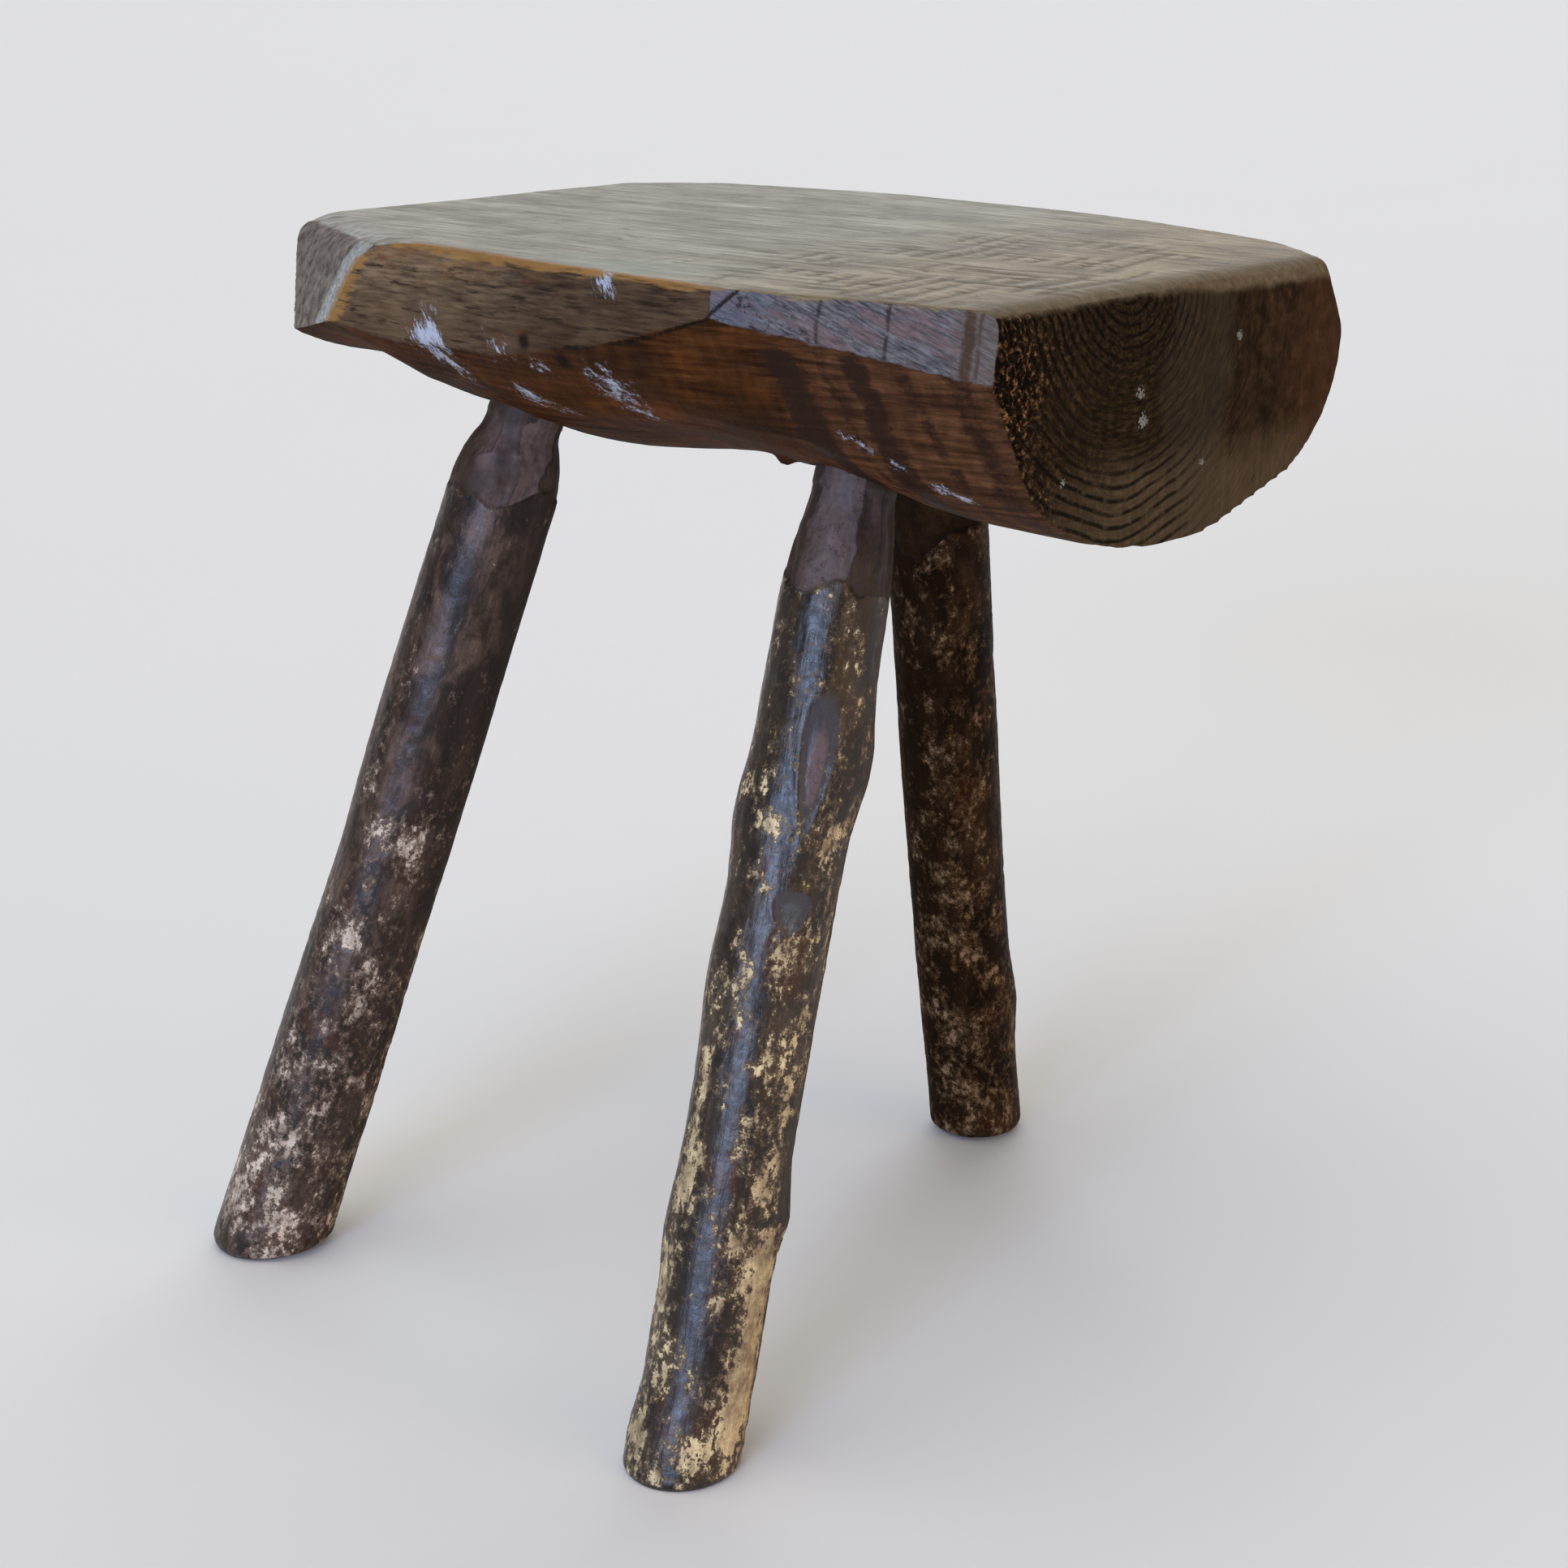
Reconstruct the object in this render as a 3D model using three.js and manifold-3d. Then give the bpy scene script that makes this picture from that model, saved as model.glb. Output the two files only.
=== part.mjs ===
// Three-legged milking stool: half a log hewn to a D-shaped seat, with three crooked branch legs whose
// whittled tenons are driven into blind sockets under it. Millimetres, +Z up, +X along the seat.
// The stool stands on z = 0 with its bounding box centred on x = 0, y = 0.

import * as THREE from 'three';
import { mergeVertices } from 'three/addons/utils/BufferGeometryUtils.js';
import Module from 'manifold-3d';

const wasm = await Module();
wasm.setup();

// Whole stool
const SEAT_HEIGHT = 350;
const FIT_GAP = 0.3;
const WORK_BOX = 600;
const MERGE_DISTANCE = 0.0001;

// Plain finishes: hewn wood on the seat, bark of each leg's own colour
const SEAT_FINISH = { color: 0x5b4a3c, roughness: 0.6, metalness: 0 };
const BARK_FINISH = { roughness: 0.55, metalness: 0 };

// Seat plan, with the seat's middle at x = 0
const HALF_LENGTH = 172;
const FRONT_CREST = { x: 35, y: -95.5 };
const FRONT_FALL = { left: 0.0001, right: 0.0007 };
const BACK_CREST = { x: -31, y: 148.5 };
const BACK_FALL = 0.0013;

// Log section under the flat top
const THICKNESS_ALONG = [
  { x: -180, thick: 52 },
  { x: -115, thick: 52 },
  { x: -60, thick: 64.5 },
  { x: -20, thick: 70.5 },
  { x: 50, thick: 64.5 },
  { x: 90, thick: 67 },
  { x: 135, thick: 75 },
  { x: 180, thick: 76 },
];
const ROUNDNESS = 2.3;
const BACK_SHOULDER = { depth: 0.25, inset: 0.035 };
const SECTION_STEPS = 12;
const LENGTH_STEPS = 26;
const END_ALLOWANCE = 4;

// Corners of the flat top, where the hewn faces meet it
const CORNER = {
  leftFront: new THREE.Vector3(-86, -77, 0),
  rightFront: new THREE.Vector3(HALF_LENGTH, -77, 0),
  rightBack: new THREE.Vector3(HALF_LENGTH, 82, 0),
  leftBack: new THREE.Vector3(-HALF_LENGTH, 100, 0),
};

// Each hewn face is a plane through a point, with its outward normal
const HEWN_FACES = [
  { through: CORNER.rightFront, outward: new THREE.Vector3(1, 0, 0) },
  { through: CORNER.leftBack, outward: new THREE.Vector3(-1, 0, 0) },
  { through: CORNER.leftFront, outward: new THREE.Vector3(-0.4, -0.85, 0.34) },
  { through: new THREE.Vector3(-155, -50, -25), outward: new THREE.Vector3(-0.81, -0.27, -0.52) },
  { through: CORNER.leftFront, outward: new THREE.Vector3(-0.089, -0.985, 0.146) },
  { through: CORNER.rightFront, outward: new THREE.Vector3(0.161, -0.976, 0.148) },
  { through: new THREE.Vector3(HALF_LENGTH, -80, -20), outward: new THREE.Vector3(0.075, -0.88, -0.47) },
  { through: CORNER.rightBack, outward: new THREE.Vector3(0.6, 0.69, 0.38) },
  { through: new THREE.Vector3(HALF_LENGTH, 72, -62), outward: new THREE.Vector3(0.1, 0.27, -0.95) },
  { through: CORNER.leftBack, outward: new THREE.Vector3(-0.65, 0.759, 0) },
];

// Legs: foot is the middle of the sole, mouth is where the axis enters the underside of the seat.
// Bearings are turned about the leg from +X. A swelling is a knot or collar on the branch.
const TENON = { mouthRadius: 13, tipRadius: 11, bareNeck: 5 };
const SOCKET_REACH_BELOW = 30;
const LEG_SIDES = 24;
const RING_SPACING = 9;
const SOLE_ALLOWANCE = 20;
const LEGS = [
  {
    name: 'leg_left',
    colour: 0x3f3129,
    foot: new THREE.Vector3(-112, -120, 0),
    mouth: new THREE.Vector3(-48, -45, 292),
    soleRadius: 20,
    neckRadius: 18,
    whittled: 20,
    tenonDepth: 32,
    bow: { size: 0.5, bearing: 42 },
    swellings: [{ height: 150, bearing: 200, size: -1.2, tall: 30, wide: 70 }],
  },
  {
    name: 'leg_front',
    colour: 0x4b3c30,
    foot: new THREE.Vector3(99, -126, 0),
    mouth: new THREE.Vector3(90, -40, 287),
    soleRadius: 17,
    neckRadius: 16.7,
    whittled: 36,
    tenonDepth: 38,
    bow: { size: 0.7, bearing: 222 },
    swellings: [
      { height: 218, bearing: 42, size: 3.4, tall: 16, wide: 50 },
      { height: 200, bearing: 215, size: 2, tall: 12, wide: 50 },
      { height: 150, bearing: 235, size: 1.4, tall: 16, wide: 60 },
      { height: 80, bearing: 42, size: 2.6, tall: 9, wide: 45 },
      { height: 72, bearing: 222, size: 1.4, tall: 14, wide: 50 },
      { height: 8, bearing: 222, size: 2.2, tall: 10, wide: 90 },
    ],
  },
  {
    name: 'leg_back',
    colour: 0x35271c,
    foot: new THREE.Vector3(13.5, 124, 0),
    mouth: new THREE.Vector3(40.5, 57, 279),
    soleRadius: 17.5,
    neckRadius: 17.5,
    whittled: 26,
    tenonDepth: 38,
    bow: { size: 1.2, bearing: 222 },
    swellings: [{ height: 62, bearing: 42, size: 1.8, tall: 13, wide: 60 }],
  },
];

// A closed geometry with its shared vertices merged, as a solid that can be cut
function solidOf(geometry) {
  const bare = geometry.clone();
  bare.deleteAttribute('normal');
  bare.deleteAttribute('uv');
  const merged = mergeVertices(bare, MERGE_DISTANCE);
  return new wasm.Manifold(new wasm.Mesh({
    numProp: 3,
    vertProperties: Float32Array.from(merged.attributes.position.array),
    triVerts: Uint32Array.from(merged.index.array),
  }));
}

function geometryOf(solid) {
  const mesh = solid.getMesh();
  const geometry = new THREE.BufferGeometry();
  geometry.setAttribute('position', new THREE.BufferAttribute(mesh.vertProperties, 3));
  geometry.setIndex(new THREE.BufferAttribute(mesh.triVerts, 1));
  geometry.computeVertexNormals();
  return geometry;
}

function moveVertices(geometry, move) {
  const position = geometry.attributes.position;
  const vertex = new THREE.Vector3();
  for (let i = 0; i < position.count; i += 1) {
    vertex.fromBufferAttribute(position, i);
    move(vertex);
    position.setXYZ(i, vertex.x, vertex.y, vertex.z);
  }
  return geometry;
}

// A block that fills the space outside a plane
function blockOutside(point, outward) {
  const block = new THREE.BoxGeometry(WORK_BOX, WORK_BOX, WORK_BOX);
  block.translate(0, 0, WORK_BOX / 2);
  const turn = new THREE.Quaternion().setFromUnitVectors(
    new THREE.Vector3(0, 0, 1),
    outward.clone().normalize(),
  );
  block.applyQuaternion(turn);
  return block.translate(point.x, point.y, point.z);
}

// Half-log section in unit size: front edge at -1, back edge at +1, deepest point at -1
function unitSection() {
  const round = (value) => value ** (2 / ROUNDNESS);
  const points = [];
  for (let i = 0; i < SECTION_STEPS; i += 1) {
    const angle = (i / SECTION_STEPS) * (Math.PI / 2);
    points.push(new THREE.Vector2(-round(Math.cos(angle)), -round(Math.sin(angle))));
  }
  const belly = 1 - BACK_SHOULDER.depth;
  for (let i = SECTION_STEPS; i >= 0; i -= 1) {
    const angle = (i / SECTION_STEPS) * (Math.PI / 2);
    const drop = BACK_SHOULDER.depth + belly * round(Math.sin(angle));
    points.push(new THREE.Vector2(round(Math.max(Math.cos(angle), 0)), -drop));
  }
  points.push(new THREE.Vector2(1 - BACK_SHOULDER.inset, 0));
  return new THREE.Shape(points);
}

function frontEdge(x) {
  const offset = x - FRONT_CREST.x;
  const fall = offset < 0 ? FRONT_FALL.left : FRONT_FALL.right;
  return FRONT_CREST.y + fall * offset * offset;
}

function backEdge(x) {
  return BACK_CREST.y - BACK_FALL * (x - BACK_CREST.x) ** 2;
}

function thickness(x) {
  const next = THICKNESS_ALONG.findIndex((station) => x < station.x);
  const lower = THICKNESS_ALONG[next - 1];
  const upper = THICKNESS_ALONG[next];
  const part = THREE.MathUtils.smoothstep(x, lower.x, upper.x);
  return THREE.MathUtils.lerp(lower.thick, upper.thick, part);
}

function logGeometry() {
  const section = new THREE.ExtrudeGeometry(unitSection(), {
    depth: 1,
    steps: LENGTH_STEPS,
    bevelEnabled: false,
  });
  return moveVertices(section, (vertex) => {
    const x = THREE.MathUtils.lerp(-1, 1, vertex.z) * (HALF_LENGTH + END_ALLOWANCE);
    const middle = (frontEdge(x) + backEdge(x)) / 2;
    const half = (backEdge(x) - frontEdge(x)) / 2;
    vertex.set(x, middle + vertex.x * half, vertex.y * thickness(x));
  });
}

function axisOf(leg) {
  return leg.mouth.clone().sub(leg.foot);
}

function legPlacement(leg) {
  const turn = new THREE.Quaternion().setFromUnitVectors(
    new THREE.Vector3(0, 0, 1),
    axisOf(leg).normalize(),
  );
  return new THREE.Matrix4().compose(leg.foot, turn, new THREE.Vector3(1, 1, 1));
}

// Radius of the branch at a height along its own axis, up to the bare neck of its tenon
function branchRadius(leg, height) {
  const length = axisOf(leg).length();
  const neck = length - TENON.bareNeck;
  const whittling = THREE.MathUtils.clamp((height - neck) / leg.whittled + 1, 0, 1);
  const branch = THREE.MathUtils.lerp(leg.soleRadius, leg.neckRadius, height / length);
  return THREE.MathUtils.lerp(branch, TENON.mouthRadius, whittling ** 2);
}

function legGeometry(leg) {
  const length = axisOf(leg).length();
  const neck = length - TENON.bareNeck;
  const rings = Math.round((neck + SOLE_ALLOWANCE) / RING_SPACING);
  const profile = [new THREE.Vector2(0, -SOLE_ALLOWANCE)];
  for (let i = 0; i <= rings; i += 1) {
    const height = THREE.MathUtils.lerp(-SOLE_ALLOWANCE, neck, i / rings);
    profile.push(new THREE.Vector2(branchRadius(leg, height), height));
  }
  profile.push(new THREE.Vector2(TENON.tipRadius, length + leg.tenonDepth));
  profile.push(new THREE.Vector2(0, length + leg.tenonDepth));
  const branch = new THREE.LatheGeometry(profile, LEG_SIDES);
  branch.rotateX(Math.PI / 2);
  return moveVertices(branch, (vertex) => {
    crook(leg, vertex, length);
  });
}

// Swells the branch at its knots and bows its axis; the tenon above the mouth stays straight
function crook(leg, vertex, length) {
  const height = THREE.MathUtils.clamp(vertex.z, 0, length);
  const radius = Math.hypot(vertex.x, vertex.y);
  const bearing = Math.atan2(vertex.y, vertex.x);
  for (const swelling of leg.swellings) {
    const around = bearing - THREE.MathUtils.degToRad(swelling.bearing);
    const away = Math.abs(Math.atan2(Math.sin(around), Math.cos(around)));
    const spread = away / THREE.MathUtils.degToRad(swelling.wide);
    const rise = (vertex.z - swelling.height) / swelling.tall;
    const swell = swelling.size * Math.exp(-spread * spread - rise * rise);
    if (radius > 0) {
      vertex.x *= 1 + swell / radius;
      vertex.y *= 1 + swell / radius;
    }
  }
  const bow = leg.bow.size * Math.sin((Math.PI * height) / length);
  const side = THREE.MathUtils.degToRad(leg.bow.bearing);
  vertex.x += bow * Math.cos(side);
  vertex.y += bow * Math.sin(side);
}

// The socket is the tenon with a small gap all round, opened below the mouth
function socketGeometry(leg) {
  const length = axisOf(leg).length();
  const tip = leg.tenonDepth + FIT_GAP;
  const taper = (TENON.mouthRadius - TENON.tipRadius) / (leg.tenonDepth + TENON.bareNeck);
  const lowRadius = TENON.mouthRadius + taper * (SOCKET_REACH_BELOW - TENON.bareNeck);
  const profile = [
    new THREE.Vector2(0, -SOCKET_REACH_BELOW),
    new THREE.Vector2(lowRadius + FIT_GAP, -SOCKET_REACH_BELOW),
    new THREE.Vector2(TENON.tipRadius + FIT_GAP, tip),
    new THREE.Vector2(0, tip),
  ];
  const socket = new THREE.LatheGeometry(profile, LEG_SIDES);
  socket.rotateX(Math.PI / 2);
  return socket.translate(0, 0, length);
}

function makeSeat() {
  let solid = solidOf(logGeometry());
  for (const face of HEWN_FACES) {
    solid = solid.subtract(solidOf(blockOutside(face.through, face.outward)));
  }
  const down = new THREE.Matrix4().makeTranslation(0, 0, -SEAT_HEIGHT);
  for (const leg of LEGS) {
    const socket = socketGeometry(leg).applyMatrix4(legPlacement(leg)).applyMatrix4(down);
    solid = solid.subtract(solidOf(socket));
  }
  const seat = new THREE.Mesh(geometryOf(solid), new THREE.MeshStandardMaterial(SEAT_FINISH));
  seat.name = 'seat';
  seat.position.z = SEAT_HEIGHT;
  return seat;
}

function makeLeg(leg) {
  const placement = legPlacement(leg);
  const floor = blockOutside(new THREE.Vector3(), new THREE.Vector3(0, 0, -1));
  floor.applyMatrix4(placement.clone().invert());
  const solid = solidOf(legGeometry(leg)).subtract(solidOf(floor));
  const bark = new THREE.MeshStandardMaterial({ ...BARK_FINISH, color: leg.colour });
  const mesh = new THREE.Mesh(geometryOf(solid), bark);
  mesh.name = leg.name;
  mesh.applyMatrix4(placement);
  return mesh;
}

const stool = new THREE.Group();
stool.add(makeSeat());
for (const leg of LEGS) {
  stool.add(makeLeg(leg));
}

const box = new THREE.Box3().setFromObject(stool, true);
const centre = box.getCenter(new THREE.Vector3());
stool.position.set(-centre.x, -centre.y, 0);

export default stool;
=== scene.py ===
import math
from itertools import product

import bmesh
import bpy
import numpy as np
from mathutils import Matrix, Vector
from mathutils.bvhtree import BVHTree


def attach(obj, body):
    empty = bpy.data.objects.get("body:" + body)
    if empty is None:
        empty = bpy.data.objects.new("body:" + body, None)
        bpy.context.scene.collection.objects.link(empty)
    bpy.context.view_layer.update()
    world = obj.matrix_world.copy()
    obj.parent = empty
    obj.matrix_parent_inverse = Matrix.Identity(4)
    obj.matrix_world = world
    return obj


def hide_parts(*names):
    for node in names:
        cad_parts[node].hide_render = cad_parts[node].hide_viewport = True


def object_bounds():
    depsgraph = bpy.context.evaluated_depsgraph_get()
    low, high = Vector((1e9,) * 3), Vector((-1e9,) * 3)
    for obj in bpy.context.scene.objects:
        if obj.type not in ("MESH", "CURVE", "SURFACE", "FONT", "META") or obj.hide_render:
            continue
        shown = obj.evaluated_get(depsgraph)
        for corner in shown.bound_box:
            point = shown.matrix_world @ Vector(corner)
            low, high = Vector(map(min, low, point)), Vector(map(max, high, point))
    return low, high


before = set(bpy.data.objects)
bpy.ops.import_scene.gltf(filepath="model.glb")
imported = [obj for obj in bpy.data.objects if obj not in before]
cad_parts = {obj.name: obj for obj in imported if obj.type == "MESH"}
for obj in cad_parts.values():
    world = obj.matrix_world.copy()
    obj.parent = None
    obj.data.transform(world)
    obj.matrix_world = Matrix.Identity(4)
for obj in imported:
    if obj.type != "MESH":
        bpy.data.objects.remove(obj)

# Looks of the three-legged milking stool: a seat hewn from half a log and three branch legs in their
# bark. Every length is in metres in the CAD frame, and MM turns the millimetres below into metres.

CAD_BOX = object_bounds()
MM = 0.001

# ---- Camera, light and floor ----
CAMERA_AZIMUTH = 42.25
CAMERA_ELEVATION = 17.78
CAMERA_DISTANCE = 0.88
CAMERA_LENS = 62.42
CAMERA_AIM = Vector((0.045, -0.024, 0.005))

# Each light is far away: azimuth, elevation, strength, apparent width in degrees, colour
LIGHTS = {
    "window": (15, 12, 2.35, 24, (0.47, 0.63, 1.0)),
    "sky_behind": (214, 32, 1.15, 60, (0.95, 0.98, 1.0)),
    "overhead": (330, 68, 1.05, 70, (1.0, 0.99, 0.96)),
    "warm_room": (98, 14, 0.85, 50, (1.0, 0.58, 0.25)),
}
WORLD_STRENGTH = 0.27
BACKDROP_COLOUR = (0.80, 0.80, 0.82)
FLOOR_HALF = 60
FLOOR_COLOUR = (0.80, 0.80, 0.79)

# ---- Seat ----
SEAT_VOXEL = 1.75 * MM
# Rounds in which neighbouring vertices are drawn together, and their shares of the band
LOG_SOFTENING = 3
EDGE_SOFTENING = 3
BAND_BLUR = 16
# How alike the CAD polygons of one hewn face are
SAME_NORMAL = math.cos(math.radians(2.5))
SAME_PLANE = 0.4 * MM
# The way each hewn face points; the rest of the seat is the round log
HEWN_FACES = {
    "top": (0, 0, 1),
    "right_end": (1, 0, 0),
    "left_end": (-1, 0, 0),
    "undercut": (-0.81, -0.27, -0.52),
    "chamfer": (-0.4, -0.85, 0.34),
    "band": (-0.089, -0.985, 0.146),
    "facet": (0.161, -0.976, 0.148),
    "under_facet": (0.075, -0.88, -0.47),
    "right_back": (0.6, 0.69, 0.38),
    "right_under": (0.1, 0.27, -0.95),
    "left_back": (-0.65, 0.759, 0),
}
FINE_FACES = ("right_end", "band", "facet", "chamfer")
# Two faces that meet, and the radius of the edge between them in millimetres
ROUNDED_EDGES = [
    ("top", "left_end", 20),
    ("left_end", "chamfer", 16),
    ("top", "chamfer", 18),
    ("top", "right_end", 7),
    ("top", "right_back", 6),
    ("top", "left_back", 6),
    ("top", "band", 1.6),
    ("top", "facet", 1.8),
    ("chamfer", "band", 1.6),
    ("right_end", "right_back", 4),
    ("left_end", "left_back", 6),
    ("left_end", "undercut", 5),
    ("right_end", "facet", 1.5),
    ("right_end", "under_facet", 1.5),
]
# Y and Z of the middle of the growth rings, the innermost gap and how fast the gaps widen
PITH = (-20 * MM, 354 * MM)
RING_GAP = 3.0 * MM
RING_SPREAD = 0.012

# ---- Numbers at points ----
HASH_PRIMES = np.array((73856093, 19349663, 83492791), np.int64)
HASH_SEED = 2654435761
HASH_MIX = 1274126177
HASH_MASK = 0xFFFFFFFF


def mm(*values):
    """Lengths given in millimetres, as an array in metres."""
    return np.array(values) * MM


def lattice(cell, seed):
    """A repeatable value from -1 to 1 for each whole-numbered cell."""
    mixed = (cell * HASH_PRIMES).sum(axis=1) + seed * HASH_SEED
    mixed = mixed & HASH_MASK
    mixed = ((mixed ^ (mixed >> 15)) * HASH_MIX) & HASH_MASK
    mixed = ((mixed ^ (mixed >> 13)) * HASH_MIX) & HASH_MASK
    return ((mixed >> 8) & 0xFFFF) / 32767.5 - 1


def noise(points, size, seed=0):
    """Smooth noise from -1 to 1 whose features have the given size, one number or one per axis."""
    scaled = points / np.asarray(size)
    cell = np.floor(scaled).astype(np.int64)
    part = scaled - cell
    part = part * part * (3 - 2 * part)
    total = np.zeros(len(points))
    for corner in product((0, 1), repeat=3):
        weight = np.prod(np.where(corner, part, 1 - part), axis=1)
        total += weight * lattice(cell + np.array(corner), seed)
    return total


def cloud(points, size, seed=0, octaves=4, keep=0.5):
    """Noise with finer and weaker copies of itself added, kept within about -1 to 1."""
    size = np.asarray(size, float)
    total = np.zeros(len(points))
    weight = 1.0
    reach = 0.0
    for octave in range(octaves):
        total += weight * noise(points, size / 2 ** octave, seed + octave)
        reach += weight
        weight *= keep
    return total / reach


def smooth(value, low, high):
    part = np.clip((value - low) / (high - low), 0, 1)
    return part * part * (3 - 2 * part)


def segment_distance(points, start, end):
    """Distance of each point from a segment, and how far along it the nearest place is, 0 to 1."""
    start = np.asarray(start, float)
    along = np.asarray(end, float) - start
    part = np.clip(((points - start) @ along) / (along @ along), 0, 1)
    return np.linalg.norm(points - start - part[:, None] * along, axis=1), part


def path_distance(points, path):
    """Distance of each point from a broken line."""
    best = np.full(len(points), 1.0)
    for start, end in zip(path, path[1:]):
        best = np.minimum(best, segment_distance(points, start, end)[0])
    return best


# ---- Mesh helpers ----
def read(collection, field, columns, kind=np.float32):
    """A field of every vertex or edge of a mesh, one row for each."""
    flat = np.empty(len(collection) * columns, kind)
    collection.foreach_get(field, flat)
    return flat.reshape(-1, columns)


def coordinates(mesh):
    return read(mesh.vertices, "co", 3).astype(float)


def set_coordinates(mesh, points):
    mesh.vertices.foreach_set("co", points.astype(np.float32).ravel())
    mesh.update()


def neighbour_mean(values, pairs):
    """Mean of each vertex's neighbours, for values with one column or more."""
    columns = values.reshape(len(values), -1)
    count = np.bincount(pairs.ravel(), minlength=len(values))
    means = []
    for column in columns.T:
        total = np.bincount(pairs[:, 0], column[pairs[:, 1]], len(values))
        total += np.bincount(pairs[:, 1], column[pairs[:, 0]], len(values))
        means.append(total / np.maximum(count, 1))
    return np.stack(means, axis=1).reshape(values.shape)


def relaxed(values, pairs, rounds, share=0.5):
    """Values drawn towards their neighbours' mean; share is one number or one per vertex."""
    weight = np.asarray(share)
    if weight.ndim and values.ndim > 1:
        weight = weight[:, None]
    for _ in range(rounds):
        values = values + weight * (neighbour_mean(values, pairs) - values)
    return values


def store(mesh, name, values):
    """Keeps one number or one vector per vertex for the material."""
    kind, field = ("FLOAT", "value") if values.ndim == 1 else ("FLOAT_VECTOR", "vector")
    attribute = mesh.attributes.new(name, kind, "POINT")
    attribute.data.foreach_set(field, values.astype(np.float32).ravel())


def cad_tree(node):
    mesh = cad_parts[node].data
    return BVHTree.FromPolygons(
        [v.co for v in mesh.vertices],
        [tuple(p.vertices) for p in mesh.polygons],
    )


def new_piece(name, mesh, node, material):
    piece = bpy.data.objects.new(name, mesh)
    bpy.context.scene.collection.objects.link(piece)
    mesh.materials.clear()
    mesh.materials.append(material)
    mesh.shade_smooth()
    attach(piece, "root")
    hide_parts(node)
    return piece


# ---- Material helpers ----
class Wire:
    """A node's output, which can be added, subtracted and multiplied."""

    def __init__(self, shader, socket):
        self.shader = shader
        self.socket = socket

    def __add__(self, other):
        return self.shader.math("ADD", self, other)

    def __sub__(self, other):
        return self.shader.math("SUBTRACT", self, other)

    def __mul__(self, other):
        return self.shader.math("MULTIPLY", self, other)

    def __abs__(self):
        return self.shader.math("ABSOLUTE", self)


class Shader:
    """A node material made by short calls, most of which return a Wire."""

    def __init__(self, name):
        self.material = bpy.data.materials.new(name)
        self.material.use_nodes = True
        self.tree = self.material.node_tree
        self.surface = self.tree.nodes["Principled BSDF"]
        self.place = self.add("TexCoord", output="Object")

    def add(self, kind, inputs=(), output=0, **settings):
        node = self.tree.nodes.new("ShaderNode" + kind)
        for name, value in settings.items():
            setattr(node, name, value)
        for key, value in dict(inputs).items():
            self.feed(node.inputs[key], value)
        return Wire(self, node.outputs[output])

    def feed(self, socket, value):
        if isinstance(value, Wire):
            self.tree.links.new(value.socket, socket)
        elif isinstance(value, tuple) and socket.type == "RGBA":
            socket.default_value = (*value, 1)
        else:
            socket.default_value = value

    def mask(self, name):
        return self.add("Attribute", output="Fac", attribute_name=name)

    def vector(self, name):
        return self.add("Attribute", output="Vector", attribute_name=name)

    def math(self, operation, *values):
        return self.add("Math", dict(enumerate(values)), operation=operation)

    def dot(self, vector, direction):
        return self.add("VectorMath", {0: vector, 1: direction}, "Value", operation="DOT_PRODUCT")

    def turned(self, angle):
        """The place turned about the Y axis."""
        return self.add("VectorRotate", {"Vector": self.place, "Angle": angle, "Axis": (0, 1, 0)})

    def noise(self, vector, scale, detail=3.0, rough=0.55, bend=0.0):
        inputs = {"Vector": vector, "Scale": scale, "Detail": detail, "Roughness": rough, "Distortion": bend}
        return self.add("TexNoise", inputs)

    def streaks(self, vector, shares, *settings):
        """Noise drawn out along the axes whose shares are small."""
        return self.noise(self.add("VectorMath", {0: vector, 1: shares}, operation="MULTIPLY"), *settings)

    def between(self, value, low, high, to_low=0.0, to_high=1.0):
        inputs = {"Value": value, "From Min": low, "From Max": high, "To Min": to_low, "To Max": to_high}
        return self.add("MapRange", inputs, interpolation_type="SMOOTHSTEP")

    def ramp(self, value, low, high, *colours):
        """Colours evenly spaced from low to high."""
        colour = self.add("ValToRGB", {"Fac": value}, "Color")
        elements = colour.socket.node.color_ramp.elements
        while len(elements) < len(colours):
            elements.new(1.0)
        for element, position, tone in zip(elements, np.linspace(low, high, len(colours)), colours):
            element.position = position
            element.color = (*tone, 1)
        return colour

    def grey(self, value, low, high, dark, pale):
        return self.ramp(value, low, high, (dark, dark, dark), (pale, pale, pale))

    def mix(self, share, below, above, blend="MIX"):
        return self.add("Mix", {0: share, 6: below, 7: above}, 2, data_type="RGBA", blend_type=blend)

    def overlay(self, share, below, above):
        return self.mix(share, below, above, "OVERLAY")

    def blend(self, share, below, above):
        return self.add("Mix", {0: share, 2: below, 3: above}, data_type="FLOAT")

    def finish(self, colour, roughness, height, depth, shine=0.5):
        bump = self.add("Bump", {"Height": height, "Distance": depth, "Strength": 1.0})
        for name, value in (("Base Color", colour), ("Roughness", roughness), ("Normal", bump)):
            self.feed(self.surface.inputs[name], value)
        self.surface.inputs["Specular IOR Level"].default_value = shine
        return self.material


# ---- Seat shape ----
def seat_planes():
    """Each hewn face as (unit normal, offset), measured on the CAD seat, and each polygon's face name."""
    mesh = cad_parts["seat"].data
    facing = np.array([p.normal for p in mesh.polygons])
    middle = np.array([p.center for p in mesh.polygons])
    area = np.array([p.area for p in mesh.polygons])
    names = np.full(len(area), "log", dtype=object)
    planes = {}
    for name, direction in HEWN_FACES.items():
        normal = np.array(direction, float) / np.linalg.norm(direction)
        like = facing @ normal > SAME_NORMAL
        offsets = middle @ normal
        offset = offsets[like][np.argmax(area[like])]
        planes[name] = (normal, offset)
        names[like & (np.abs(offsets - offset) < SAME_PLANE)] = name
    return planes, names


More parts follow.
